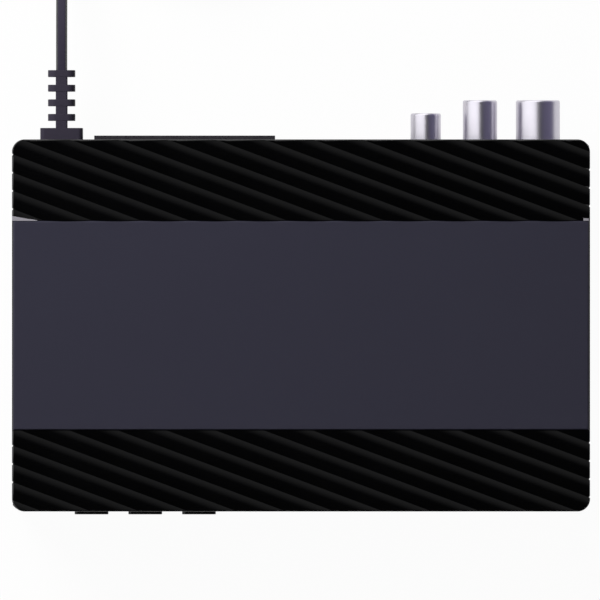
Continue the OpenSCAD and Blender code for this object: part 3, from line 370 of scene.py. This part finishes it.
rear_face, ring_w, ring_h = 46.5, 7.55, 9.4
ring_start, ring_pitch, ring_n = 51.75, 4.05, 4
flange, core = (rear_face, 3.25, 11.8, 13.6, 1.3), (43.3, 4, ring_w, ring_h, 1.2)
inner_flange, web = (41.3, 2, 9.6, 10.4, 1.2), (49, 15.5, 3.24, 9.24, 0.4)
rings = [(ring_start + ring_pitch * ring, 1.9, ring_w, ring_h, 2.05) for ring in range(ring_n)]
bush_parts = []
for start, depth, width, height, corner in (flange, core, inner_flange, web, *rings):
    centre = (lead_exit.x, start + depth / 2, lead_exit.z)
    bush_parts.append(upright_block("bush_part", centre, (width, depth, height), corner))
relief = joined("strain_relief_bush", *bush_parts)
soften(relief, 0.12)
relief_pvc = moulded("relief_grey_pvc", paint(62, 58, 70), paint(58, 54, 66), 0.36, 1100, 0.02,
                     Specular_IOR_Level=0.08)
fit(relief, relief_pvc, "case", "relief_grey", "strain_relief")

# Lead tie: a soft black strap, 5 mm wide, closed round all turns of the coil with its end on top.
# It is cut from rolled PVC sheet and has a slightly matt face.
tie_y, tie_z, tie_size, strap_t = 99.5, 6.15, Vector((5, 18, 12.1)), 0.7
end_y, end_t, tie_corner, strap_top = 101, 0.45, 2.2, 12
tie = add_piece("lead_tie", bpy.ops.mesh.primitive_cube_add, size=1, scale=tie_size * MM,
                location=Vector((coil_middle.x, tie_y, tie_z)) * MM)
pick("FACE", lambda face: abs(face.normal.x) > 0.9)
bpy.ops.mesh.delete(type="FACE")
pick("EDGE", lambda edge: abs(edge.verts[0].co.x - edge.verts[1].co.x) > 1e-6)
bpy.ops.mesh.bevel(offset=tie_corner * MM, segments=6, affect="EDGES")
bpy.ops.mesh.select_all(action="SELECT")
bpy.ops.mesh.normals_make_consistent(inside=False)
bpy.ops.object.mode_set(mode="OBJECT")
strap_wall = tie.modifiers.new("strap_wall", "SOLIDIFY")
strap_wall.thickness, strap_wall.offset = strap_t * MM, -1
bpy.ops.object.modifier_apply(modifier=strap_wall.name)
bpy.ops.object.mode_set(mode="EDIT")
bpy.ops.mesh.select_all(action="SELECT")
bpy.ops.mesh.bisect(plane_co=Vector((0, end_y, 0)) * MM, plane_no=(0, 1, 0), threshold=1e-7)
pick("FACE", lambda face: face.normal.z > 0.99 and middle(face).y < end_y and middle(face).z > strap_top)
bpy.ops.mesh.extrude_region_move(TRANSFORM_OT_translate={"value": (0, 0, end_t * MM)})
soften(tie, 0.12)
strap_pvc = moulded("strap_black_pvc", paint(34, 33, 37), paint(28, 27, 31), 0.55, 1500, 0.03)
fit(tie, strap_pvc, "case", "cord_black", "cord_tie")

# Mains plug: a flat two-pin plug, black PVC moulded over the pins and the end of the lead.
# It flares from a ridged sleeve to a broad body with five grip bars across both faces.


def turned(name, centre, axis, profile, steps=72):
    """A round piece: its profile of radii and distances is drawn point by point and spun on its axis."""
    centre, axis = Vector(centre), Vector(axis)
    outwards = Vector((1, 0, 0)) if axis.z else Vector((0, 0, 1))
    drawn = [centre + axis * distance + outwards * radius for radius, distance in profile]
    piece = add_piece(name, bpy.ops.mesh.primitive_plane_add, size=0.1 * MM, location=drawn[0] * MM)
    bpy.ops.mesh.select_mode(type="VERT")
    bpy.ops.mesh.select_all(action="SELECT")
    bpy.ops.mesh.merge(type="CENTER")
    for start, end in zip(drawn, drawn[1:]):
        bpy.ops.mesh.extrude_vertices_move(TRANSFORM_OT_translate={"value": (end - start) * MM})
    bpy.ops.mesh.select_all(action="SELECT")
    bpy.ops.mesh.spin(steps=steps, angle=2 * pi, center=centre * MM, axis=axis)
    bpy.ops.mesh.select_all(action="SELECT")
    bpy.ops.mesh.remove_doubles(threshold=1e-6)
    bpy.ops.mesh.normals_make_consistent(inside=False)
    return piece


sleeve_len, sleeve_profile = 12, [(0, 0), (2.9, 0), (3, 0.2)]
groove_n, groove_start, groove_pitch = 4, 1.8, 2.3
for groove in range(groove_n):
    start = groove_start + groove_pitch * groove
    wide = 3 + start / 8
    sleeve_profile += [(wide, start), (wide - 0.55, start + 0.25), (wide - 0.5, start + 0.75)]
    sleeve_profile += [(wide + 0.12, start + 1)]
sleeve_profile += [(4.5, sleeve_len), (4.5, sleeve_len + 1.5), (0, sleeve_len + 1.5)]
plug_size, plug_start, bar_w, bar_h = Vector((33, 35, 12.8)), route[-1], 2, 13.7
plug_end = sleeve_len + plug_size.x
plug_sleeve = turned("plug_sleeve", plug_start, (1, 0, 0), sleeve_profile, steps=48)
plug = add_piece("plug_body", bpy.ops.mesh.primitive_cube_add, size=1, scale=plug_size * MM,
                 location=(plug_start + Vector((sleeve_len + plug_size.x / 2, 0, 0))) * MM)
for ahead, corner, steps in ((sleeve_len, 9.5, 1), (plug_end, 3, 5)):
    pick("EDGE", lambda edge: (abs(middle(edge).z - plug_start.z) < 0.1
                               and abs(middle(edge).x - plug_start.x - ahead) < 0.1))
    bpy.ops.mesh.bevel(offset=corner * MM, segments=steps, affect="EDGES")
soften(plug, 1.6, 4)
grip_bars = []
for ahead, length in ((20.5, 16), (24.5, 21), (28.5, 23), (32.5, 23), (36.5, 23)):
    bar = add_piece("grip_bar", bpy.ops.mesh.primitive_cube_add, size=1,
                    location=(plug_start + Vector((ahead, 0, 0))) * MM,
                    scale=Vector((bar_w, length, bar_h)) * MM)
    soften(bar, 0.4, 3)
    grip_bars.append(bar)
joined("plug_body", plug, plug_sleeve, *grip_bars)
fit(plug, moulded("plug_black_pvc", paint(40, 39, 43), paint(34, 33, 37), 0.45, 1300, 0.04),
    "case", "cord_black", "mains_plug")

# Plug pins: two round brass pins, nickel plated, with a black sleeve moulded round the half next to the
# plug. They are held by the moulding of the plug.
pin_side, sleeved = 9.5, 9.7
pin_profile = [(0, -2), (1.9, -2), (1.9, 9.6), (2, 9.8), (2, 18), (1.85, 18.5), (1, 19), (0, 19)]
pin_feet = [plug_start + Vector((plug_end, side * pin_side, 0)) for side in (-1, 1)]
pins = joined("plug_pins_plated", *[
    turned("plug_pin", foot, (1, 0, 0), pin_profile, steps=40) for foot in pin_feet
])
pin_finish, sockets, place = open_finish("plated_pins")
bare = place.along((1, 0, 0)) > (plug_start.x + plug_end + sleeved) * MM
wear = place.noise(600, 3)
feed(bare.tint(paint(26, 26, 28), paint(214, 211, 206)), sockets["Base Color"])
feed(bare, sockets["Metallic"])
feed(0.42 - bare * 0.2 + (wear - 0.5) * 0.15, sockets["Roughness"])
feed(wear.bump(0.01), sockets["Normal"])
fit(pins, pin_finish, "case", "nickel", "plug_pins")

sum((b - a).length for a, b in zip(line, line[1:])) * MM
[p * MM for p in line]

# Rubber feet: four black rubber buttons, pressed into round seats in the bottom case.
# Each has a rounded rim and a sunk middle, so that it grips the table.
foot_profile = [(0, 0.3), (3, 0.3), (3.4, 0), (4.3, 0), (4.75, 0.15), (5, 0.5), (5, 2.5), (0, 2.5)]
feet = joined("rubber_feet_turned", *[
    turned("rubber_foot", (x, y, 0), (0, 0, 1), foot_profile, steps=48)
    for x in (-61, 61) for y in (-37.5, 27.5)
])
rubber = moulded("foot_black_rubber", paint(44, 43, 45), paint(36, 35, 37), 0.75, 1400, 0.06)
fit(feet, rubber, "case", "foot_rubber", "rubber_feet")

# Bottom case: a tray of black ABS with fine spark grain, moulded with the posts, vents and foot seats.
# It carries the boards and is screwed to the top cover from below.


def copy_of(node, name):
    """A copy of a moulded solid, with its triangles merged into plain faces."""
    bpy.ops.object.select_all(action="DESELECT")
    piece = bpy.data.objects.new(name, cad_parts[node].data.copy())
    bpy.context.scene.collection.objects.link(piece)
    bpy.context.view_layer.objects.active = piece
    piece.select_set(True)
    bpy.ops.object.mode_set(mode="EDIT")
    bpy.ops.mesh.select_all(action="SELECT")
    bpy.ops.mesh.remove_doubles(threshold=1e-6)
    bpy.ops.mesh.dissolve_limited(angle_limit=radians(0.5))
    return piece


tray = copy_of("bottom_case", "bottom_case_tray")
soften(tray, 0.35)
case_abs = moulded("case_black_abs", paint(27, 26, 29), paint(23, 22, 25), 0.5, 1600, 0.05)
fit(tray, case_abs, "case", "case_black", "bottom_case")

# Screws: zinc-plated steel, four up through the bottom case into the top cover's bosses,
# and four that hold the main board on its posts.


def dress(finish, *nodes):
    """Gives solids that stay as they are their finish."""
    for node in nodes:
        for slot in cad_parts[node].material_slots:
            slot.material = finish


def plated(name, colour, second, roughness, scale, depth):
    """Plated or bare metal: faint clouds in the plating, fine wear and a little waviness."""
    material, sockets, place = open_finish(name, Metallic=1.0)
    cloud = place.noise(scale, 3)
    fine = place.noise(scale * 12, 2)
    feed(cloud.tint(colour, second), sockets["Base Color"])
    feed(roughness + (cloud - 0.5) * 0.1 + (fine - 0.5) * 0.08, sockets["Roughness"])
    feed(fine.bump(depth), sockets["Normal"])
    return material


zinc = plated("screw_zinc", paint(176, 176, 172), paint(160, 160, 158), 0.35, 500, 0.01)
dress(zinc, "case_screws", "board_screws")

# Main board: glass-epoxy board under green solder mask, with copper tracks that show through it.
# The front board is cut from the same sheet and stands behind the keys and the display.
board_mask, sockets, place = open_finish("board_green_mask", Coat_Weight=0.3, Coat_Roughness=0.2)
cross = place.node("TexBrick", {
    "Vector": place, "Scale": 260.0, "Mortar Size": 0.06, "Brick Width": 1.7, "Row Height": 0.6,
    "Color1": (0, 0, 0, 1), "Color2": (0.4, 0.4, 0.4, 1), "Mortar": (1, 1, 1, 1)
}, output=1)
patch = place.noise(90, 2) > 0.48
track = cross * patch
pad = place.node("TexVoronoi", {"Vector": place, "Scale": 310.0}, output=0) < 0.16
copper_shows = track.tint(paint(18, 78, 44), paint(38, 112, 62))
feed(pad.tint(copper_shows, paint(190, 186, 174)), sockets["Base Color"])
feed(0.4 - pad * 0.12 + (place.noise(700) - 0.5) * 0.1, sockets["Roughness"])
feed(pad, sockets["Metallic"])
feed((track + pad).bump(0.035), sockets["Normal"])
dress(board_mask, "main_board", "front_board")

# Chips, headers and switch housings: black epoxy and nylon mouldings, soldered to the boards.
# Their faces are dull, with a fine grain from the mould.
chip_epoxy = moulded("chip_black_epoxy", paint(34, 34, 36), paint(28, 28, 30), 0.62, 2500, 0.03)
dress(chip_epoxy, "processor", "memory_chips", "front_header", "switch_housings", "infrared_receiver",
      "audio_socket_body", "hdmi_tongue")

# Heatsink: extruded aluminium with upright fins, glued on the processor.
# It is bead blasted and clear anodised.
blasted = plated("heatsink_anodised", paint(168, 170, 174), paint(150, 152, 156), 0.45, 220, 0.03)
dress(blasted, "heatsink")

# Tuner can, crystal and SCART contacts: thin steel, folded or stamped, plated with tin.
# They are soldered to the main board and the SCART block.
tinned = plated("tinned_steel", paint(186, 187, 188), paint(168, 169, 171), 0.3, 160, 0.012)
dress(tinned, "tuner_can", "crystal_can", "scart_contacts")

# Mains parts: a cream terminal block, brown and blue leads in PVC, and a glass fuse with plated caps in
# brass clips. The plungers under the keys are of the same cream nylon as the block.
cream_nylon = moulded("cream_nylon", paint(226, 218, 196), paint(214, 205, 182), 0.45, 900, 0.03)
dress(cream_nylon, "mains_terminal", "plunger_power", "plunger_channel_down", "plunger_channel_up")
lead_colours, sockets, place = open_finish("brown_and_blue_pvc")
right_lead = place.along((1, 0, 0)) > lead_exit.x * MM
cloud = place.noise(400)
feed(right_lead.tint(paint(98, 58, 34), paint(38, 78, 150)), sockets["Base Color"])
feed(0.4 + (cloud - 0.5) * 0.15, sockets["Roughness"])
feed(cloud.bump(0.02), sockets["Normal"])
dress(lead_colours, "mains_leads")
fuse_finish, sockets, place = open_finish("fuse_glass_and_caps")
fuse_mid, cap_start = 7, 5.2
along_fuse = place.along((0, 1, 0)) - fuse_mid * MM
cap = along_fuse * along_fuse > (cap_start * MM) ** 2
film = place.noise(500)
feed(cap.tint(paint(196, 208, 206), paint(200, 198, 192)), sockets["Base Color"])
feed(cap, sockets["Metallic"])
feed(0.08 + cap * 0.2 + (film - 0.5) * 0.06, sockets["Roughness"])
feed(film.bump(0.005), sockets["Normal"])
dress(fuse_finish, "mains_fuse")
spring_brass = plated("spring_brass", paint(206, 170, 96), paint(188, 152, 82), 0.28, 400, 0.01)
dress(spring_brass, "fuse_clips")

# Choke, transformer and capacitors: enamelled copper on a ferrite ring, a ferrite core round a taped
# bobbin, and electrolytic cans in printed sleeves.
windings, sockets, place = open_finish("enamelled_copper", Metallic=1.0)
wire = place.node("TexWave", {"Vector": place, "Scale": 420.0, "Distortion": 1.2, "Detail": 1.0}, output=1)
# The copper is painted darker where the bump is low, between the turns of wire: painted shade in the
# grooves.
feed(wire.tint(paint(112, 52, 28), paint(206, 118, 70)), sockets["Base Color"])
feed(0.35 - wire * 0.12, sockets["Roughness"])
feed(wire.bump(0.2), sockets["Normal"])
dress(windings, "line_choke")
ferrite = moulded("core_ferrite", paint(62, 60, 60), paint(50, 48, 49), 0.6, 2200, 0.05)
dress(ferrite, "transformer_core")
tape, sockets, place = open_finish("bobbin_yellow_tape")
layers = place.node("TexWave", {"Vector": place, "Scale": 300.0, "Distortion": 0.6}, output=1,
                    bands_direction="Z")
feed(layers.tint(paint(206, 168, 40), paint(224, 190, 66)), sockets["Base Color"])
feed(0.3 + layers * 0.1, sockets["Roughness"])
feed(layers.bump(0.05), sockets["Normal"])
dress(tape, "transformer_bobbin")
can_sleeve, sockets, place = open_finish("capacitor_sleeve")
stripe = place.node("TexWave", {"Vector": place, "Scale": 26.0, "Phase Offset": 1.0}, output=1) > 0.82
lid_z = 28.4
lid = place.along((0, 0, 1)) > lid_z * MM
film = place.noise(500)
sleeve_print = stripe.tint(paint(22, 26, 58), paint(188, 190, 196))
feed(lid.tint(sleeve_print, paint(190, 190, 190)), sockets["Base Color"])
feed(lid, sockets["Metallic"])
feed(0.3 + (film - 0.5) * 0.12, sockets["Roughness"])
feed(film.bump(0.015), sockets["Normal"])
dress(can_sleeve, "mains_capacitor", "output_capacitors")

# Display and standby light: grey and red epoxy, cast round their lamps and soldered to the front board,
# behind the window.
display_epoxy = moulded("display_grey_epoxy", paint(92, 92, 94), paint(84, 84, 86), 0.5, 1200, 0.02)
dress(display_epoxy, "led_display")
lamp_epoxy = moulded("lamp_red_epoxy", paint(168, 24, 20), paint(140, 16, 14), 0.15, 500, 0.01)
dress(lamp_epoxy, "standby_light")

# Round sockets: brass sleeves turned on a lathe and plated with bright nickel, fixed in the tuner can and
# in the audio socket's block. Each passes the rear panel with a collar and has a rounded mouth.
bright_nickel = plated("bright_nickel", paint(222, 219, 228), paint(214, 211, 221), 0.33, 200, 0.004)


def socket_sleeve(name, x, z, radius, bore, mouth, node):
    """A plated sleeve with its collar in the rear panel, open to the socket's floor."""
    profile = [
        (0, -4.7), (radius + 0.8, -4.7), (radius + 0.8, -0.15), (radius + 0.65, 0), (radius, 0),
        (radius, mouth - 0.6), (radius - 0.03, mouth - 0.4), (radius - 0.1, mouth - 0.2),
        (radius - 0.35, mouth), (bore + 0.12, mouth), (bore, mouth - 0.12), (bore, -1), (0, -1)
    ]
    sleeve = turned(name, (x, rear_face, z), (0, 1, 0), profile, steps=96)
    fit(sleeve, bright_nickel, "case", "nickel", node)


socket_sleeve("audio_sleeve", 34.6, 17.6, 4.2, 3.7, 7.3, "audio_socket_shell")
socket_sleeve("loop_out_sleeve", 49.65, 19.6, 4.76, 4.16, 10.9, "antenna_out_shell")
socket_sleeve("aerial_in_sleeve", 65.7, 19.6, 6.1, 4.8, 10.9, "antenna_in_shell")

# Inside the sleeves: cream insulators that hold brass contacts on the axis, and the orange liner of the
# digital audio socket.
for node, slot, finish in (
    ("antenna_in_insulator", "cream", cream_nylon), ("antenna_out_insulator", "cream", cream_nylon),
    ("antenna_in_contact", "brass", spring_brass), ("antenna_out_pin", "brass", spring_brass),
):
    lining = copy_of(node, node + "_turned")
    soften(lining, 0.12)
    fit(lining, finish, "case", slot, node)
orange_liner = moulded("liner_orange_abs", paint(222, 112, 30), paint(208, 98, 24), 0.35, 1200, 0.02)
liner = copy_of("audio_socket_contact", "audio_liner")
soften(liner, 0.12)
fit(liner, orange_liner, "case", "orange", "audio_socket_contact")

# SCART socket: a block of dark glass-filled nylon with a trench for the plug's skirt and twenty slots.
# It is soldered to the main board, and its edge stands proud of the rear panel.
scart_nylon = moulded("socket_dark_nylon", paint(38, 35, 41), paint(35, 32, 38), 0.5, 1500, 0.04)
scart = copy_of("scart_housing", "scart_block")
soften(scart, 0.2)
fit(scart, scart_nylon, "case", "socket_black", "scart_housing")

# HDMI and USB sockets: folded steel shells with rolled edges, plated and soldered to the boards.
# The tongue of the USB socket is white nylon.
for node in ("hdmi_shell", "usb_shell"):
    shell = copy_of(node, node.replace("shell", "folded_shell"))
    soften(shell, 0.12)
    fit(shell, tinned, "case", "nickel", node)
tongue_nylon = moulded("tongue_white_nylon", paint(228, 228, 230), paint(216, 216, 220), 0.4, 1400, 0.02)
dress(tongue_nylon, "usb_tongue")

# Front and rear panels: flat black ABS plates that slide between the two halves of the case, with fine
# spark grain on their faces and openings for the sockets, the keys and the window.
for node in ("front_panel", "rear_panel"):
    plate = copy_of(node, node + "_plate")
    soften(plate, 0.18)
    fit(plate, case_abs, "case", "case_black", node)

# Display window: smoked acrylic with a polished face, bonded into its step in the front panel.
# It hides the display until that is lit.
smoked, sockets, place = open_finish("smoked_acrylic", Coat_Weight=1.0, Coat_Roughness=0.03)
haze = place.noise(120, 3)
feed(haze.tint(paint(14, 9, 11), paint(20, 12, 14)), sockets["Base Color"])
feed(0.08 + haze * 0.08, sockets["Roughness"])
feed(haze.bump(0.004), sockets["Normal"])
window = copy_of("display_window", "smoked_window")
soften(window, 0.15)
fit(window, smoked, "case", "smoked_window", "display_window")

# Keys: three gloss black ABS caps with rounded corners and a faintly dished face. A rim behind the
# front panel stops each one, and its stem pushes a switch plunger half a millimetre.
key_abs = moulded("key_gloss_abs", paint(6, 6, 7), paint(4, 4, 5), 0.2, 1500, 0.008,
                  Specular_IOR_Level=0.35)
first_key, key_pitch, key_z, key_corner = -58.1, 14.9, 19, 0.8
cap_y, cap_size, rim_y, rim_size, stem_y = -55.2, (9.35, 4.4, 5.5), -52.8, (11.35, 1, 7.5), -52.6
border, slope, dish = 0.45, 0.25, 0.1
stem_profile = [(0, 0), (2.2, 0), (2.2, 1.1), (2, 1.3), (0, 1.3)]
for spot, name in enumerate(("power", "channel_down", "channel_up")):
    x, node = first_key + key_pitch * spot, "key_" + name
    key = upright_block(node + "_cap", (x, cap_y, key_z), cap_size, key_corner)
    pick("FACE", lambda face: face.normal.y < -0.99)
    bpy.ops.mesh.inset(thickness=border * MM, depth=0)
    bpy.ops.mesh.inset(thickness=slope * MM, depth=-dish * MM)
    rim = upright_block("key_rim", (x, rim_y, key_z), rim_size, key_corner)
    stem = turned("key_stem", (x, stem_y, key_z), (0, 1, 0), stem_profile, steps=32)
    joined(node + "_cap", key, rim, stem)
    soften(key, 0.15)
    fit(key, key_abs, name + "_key", "gloss_black", node)

# Top cover: one gloss black ABS moulding, open below, with four screw bosses under its roof. Slanted
# round ribs cross its front and rear bands, each crease ends in a small flute at the sides, and the
# middle is sunk.
half_w, half_d, y_mid, corner_r = 80.0, 51.5, -5.0, 3.5
z_split, z_lintel, z_recess, z_top = 16.0, 31.0, 34.2, 36.0
band, edge_r, flute, wall_t = 29.1, 0.28, 0.33, 2
rib_pitch, rib_height, rib_turn, rib_phase = 4.72, 0.6, radians(20.5), 2.23
rib_r = rib_pitch ** 2 / (8 * rib_height) + rib_height / 2
ribs, rib_steps, rib_length = 34, 14, 200
corner_steps, edge_steps, inner_ring = 10, 4, 0.25
slack, spill, weld = 0.01, 0.002, 0.004
first_crease = rib_phase - ribs / 2 * rib_pitch
cover = add_piece("top_cover_shell", bpy.ops.mesh.primitive_grid_add, size=1, x_subdivisions=1,
                  y_subdivisions=ribs * rib_steps)
mesh = bmesh.from_edit_mesh(cover.data)
for point in mesh.verts:
    along_rib = point.co.x * rib_length
    across_rib = first_crease + (point.co.y + 0.5) * ribs * rib_pitch
    from_crest = (across_rib - rib_phase) % rib_pitch - rib_pitch / 2
    height = z_top - rib_r + sqrt(rib_r ** 2 - from_crest ** 2)
    x = along_rib * cos(rib_turn) + across_rib * sin(rib_turn)
    y = y_mid - along_rib * sin(rib_turn) + across_rib * cos(rib_turn)
    point.co = Vector((x, y, height)) * MM
bmesh.update_edit_mesh(cover.data)


def cut(x, y, along_x, along_y, **keep):
    """Cuts what is selected with an upright plane through a point, square to a direction."""
    across = Vector((along_x, along_y, 0)).normalized()
    bpy.ops.mesh.bisect(plane_co=Vector((x, y, 0)) * MM, plane_no=across, threshold=1e-7, **keep)


for side_x in (-1, 1):
    for side_y in (-1, 1):
        for step in range(corner_steps + 1):
            angle = radians(90 * step / corner_steps)
            out_x, out_y = side_x * cos(angle), side_y * sin(angle)
            for reach in (corner_r - edge_r - inner_ring, corner_r - edge_r):
                bpy.ops.mesh.select_all(action="SELECT")
                x = side_x * (half_w - corner_r) + reach * out_x
                y = y_mid + side_y * (half_d - corner_r) + reach * out_y
                cut(x, y, out_x, out_y, clear_outer=reach == corner_r - edge_r)


def outwards(point):
    """The direction away from the case at a point of its outline."""
    x, y = point.co.x / MM, point.co.y / MM - y_mid
    over = Vector((max(abs(x) - half_w + corner_r, 0), max(abs(y) - half_d + corner_r, 0), 0)).normalized()
    return Vector((over.x if x > 0 else -over.x, over.y if y > 0 else -over.y, 0))


mesh = bmesh.from_edit_mesh(cover.data)
for point in mesh.verts:
    x, y = point.co.x / MM, point.co.y / MM - y_mid
    across_rib = x * sin(rib_turn) + y * cos(rib_turn) - rib_phase
    from_crease = (across_rib + rib_pitch / 2) % rib_pitch - rib_pitch / 2
    at_side = half_w - abs(x) < edge_r + slack and band + flute < abs(y) < half_d - corner_r - flute
    if at_side and abs(from_crease) < 5 * slack:
        point.co.x -= outwards(point).x * flute * MM
bmesh.update_edit_mesh(cover.data)
pick("EDGE", lambda edge: edge.is_boundary)
rounding = [radians(90 * step / edge_steps) for step in range(edge_steps + 1)]
for start, end in zip(rounding, rounding[1:]):
    bpy.ops.mesh.extrude_region_move()
    mesh = bmesh.from_edit_mesh(cover.data)
    for point in mesh.verts:
        if point.select:
            step_out = edge_r * (sin(end) - sin(start)) * MM
            point.co += outwards(point) * step_out - Vector((0, 0, edge_r * (cos(start) - cos(end)) * MM))
    bmesh.update_edit_mesh(cover.data)
for level in (z_recess, z_lintel, z_split):
    bpy.ops.mesh.extrude_region_move()
    mesh = bmesh.from_edit_mesh(cover.data)
    for point in mesh.verts:
        if point.select:
            point.co.z = level * MM
    bmesh.update_edit_mesh(cover.data)

for y in (y_mid - band, y_mid + band):
    bpy.ops.mesh.select_all(action="SELECT")
    cut(0, y, 0, 1)
open_x = 74
for x in (-open_x, open_x):
    pick("FACE", lambda face: abs(face.normal.y) > 0.99 and middle(face).z < z_recess)
    cut(x, 0, 1, 0)
wedge_w, wedge_d = 6.3, 1.4
wedge = [(-half_w, y_mid + band + wedge_d), (wedge_w - half_w, y_mid + band)]
pick("FACE", lambda face: middle(face).z > z_recess and middle(face).y > y_mid + band)
cut(*wedge[1], wedge[0][1] - wedge[1][1], wedge[1][0] - wedge[0][0])
bar_left, bar_right, bar_rear = 78.1, 79.7, 29.75
for x in (bar_left, bar_right):
    pick("FACE", lambda face: face.normal.z > 0.5 and middle(face).y > y_mid + band)
    cut(x, 0, 1, 0)
pick("FACE", lambda face: face.normal.z > 0.5 and middle(face).y > y_mid + band
     and bar_left < middle(face).x < bar_right)
cut(0, y_mid + bar_rear, 0, 1)


def sunk(face):
    """Tells the faces where the slate panel, its backing's tabs and the end panels go."""
    x, y, z = middle(face)
    y -= y_mid
    slant = band + wedge_d * (1 - (x + half_w) / wedge_w)
    inside = abs(y) < band or 0 < y < slant or (bar_left < x < bar_right and 0 < y < bar_rear)
    return z > z_recess and inside or (abs(x) < open_x and z < z_lintel and abs(y) > half_d - 0.5)


pick("FACE", sunk)
bpy.ops.mesh.delete(type="FACE")
pick("EDGE", lambda edge: edge.is_boundary and middle(edge).z > z_recess + slack
     and abs(middle(edge).x) < half_w - edge_r - slack)
bpy.ops.mesh.extrude_region_move()
mesh = bmesh.from_edit_mesh(cover.data)
for point in mesh.verts:
    if point.select:
        point.co.z = z_recess * MM
        if abs(point.co.x) > (half_w - edge_r - slack) * MM:
            point.co.x = half_w * MM if point.co.x > 0 else -half_w * MM
            if point.co.x < 0 and point.co.y > (y_mid + band + wedge_d / 2) * MM:
                point.co.y = wedge[0][1] * MM
bmesh.update_edit_mesh(cover.data)
bpy.ops.mesh.select_all(action="SELECT")
bpy.ops.mesh.remove_doubles(threshold=weld * MM)
bpy.ops.mesh.fill_holes(sides=14)
pick("EDGE", lambda edge: edge.is_boundary
     and all(abs(end.co.z / MM - z_recess) < slack / 2 for end in edge.verts))
bpy.ops.mesh.edge_face_add()
bpy.ops.mesh.select_all(action="SELECT")
bpy.ops.mesh.normals_make_consistent(inside=False)
bpy.ops.object.mode_set(mode="OBJECT")
cover_wall = cover.modifiers.new("cover_wall", "SOLIDIFY")
cover_wall.thickness, cover_wall.offset = wall_t * MM, -1
bpy.ops.object.modifier_apply(modifier=cover_wall.name)
for point in cover.data.vertices:
    x, y = point.co.x / MM, point.co.y / MM - y_mid
    if abs(x) > half_w + spill:
        point.co.x *= (half_w - wall_t / 2) / abs(x)
    if abs(y) > half_d + spill:
        point.co.y = (y_mid + y * (half_d - wall_t / 2) / abs(y)) * MM
boss_profile = [(0, 9), (1.5, 9), (1.5, 0.2), (1.7, 0), (3, 0), (3.2, 0.2), (3.2, 25), (0, 25)]
boss_x, boss_y, boss_z = 74.4, 44.7, 8
bosses = [turned("screw_boss", (x, y_mid + y, boss_z), (0, 0, 1), boss_profile, steps=32)
          for x in (-boss_x, boss_x) for y in (-boss_y, boss_y)]
joined("top_cover_shell", cover, *bosses)
gloss_abs, sockets, place = open_finish("gloss_black_abs")
cloud = place.noise(50, 3)
swirl = place.noise(900, 2)
feed(cloud.tint(paint(2, 2, 3), paint(3, 3, 4)), sockets["Base Color"])
feed(0.09 + (cloud - 0.5) * 0.05, sockets["Roughness"])
feed(swirl.bump(0.003), sockets["Normal"])
fit(cover, gloss_abs, "case", "gloss_black", "top_cover", angle=30)

# Panel backing: a pale grey sheet under the slate panel, glued into the sunk middle of the cover.
# Two of its tabs reach out behind the panel, a wedge at the left and a short bar at the right.
backing_sheet = moulded("backing_pale_grey", paint(165, 162, 170), paint(159, 156, 164), 0.55, 1400, 0.03)
tab_start, tab_step, hidden_x = 28.85, 0.05, 79.5
backing = copy_of("panel_backing", "backing_sheet")
for y in (y_mid + tab_start - tab_step, y_mid + tab_start + tab_step):
    bpy.ops.mesh.select_all(action="SELECT")
    cut(0, y, 0, 1)
mesh = bmesh.from_edit_mesh(backing.data)
for point in mesh.verts:
    if abs(point.co.x) > hidden_x * MM and point.co.y < (y_mid + tab_start) * MM:
        point.co.x = hidden_x * MM if point.co.x > 0 else -hidden_x * MM
bmesh.update_edit_mesh(backing.data)
soften(backing, 0.1)
fit(backing, backing_sheet, "case", "pale_grey", "panel_backing")

# Slate panel: a flat plate of slate grey ABS with a satin spark finish and rounded upper edges, laid over
# the backing between the ribbed bands, and as wide as the case but for a fine black line at its sides.
panel_size, panel_top, panel_edge = Vector((159.4, 57.9, 1.2)), 35.8, 0.45
panel = add_piece("slate_panel", bpy.ops.mesh.primitive_cube_add, size=1, scale=panel_size * MM,
                  location=Vector((0, y_mid, panel_top - panel_size.z / 2)) * MM)
pick("EDGE", lambda edge: middle(edge).z > panel_top - 0.1)
bpy.ops.mesh.bevel(offset=panel_edge * MM, segments=4, affect="EDGES")
slate, sockets, place = open_finish("slate_satin_abs", Specular_IOR_Level=0.3)
cloud = place.noise(30, 3)
spark = place.noise(2600, 2)
feed(cloud.tint(paint(49, 48, 62), paint(47, 46, 60)), sockets["Base Color"])
feed(0.5 + (spark - 0.5) * 0.15, sockets["Roughness"])
feed(spark.bump(0.012), sockets["Normal"])
fit(panel, slate, "case", "slate", "top_panel")
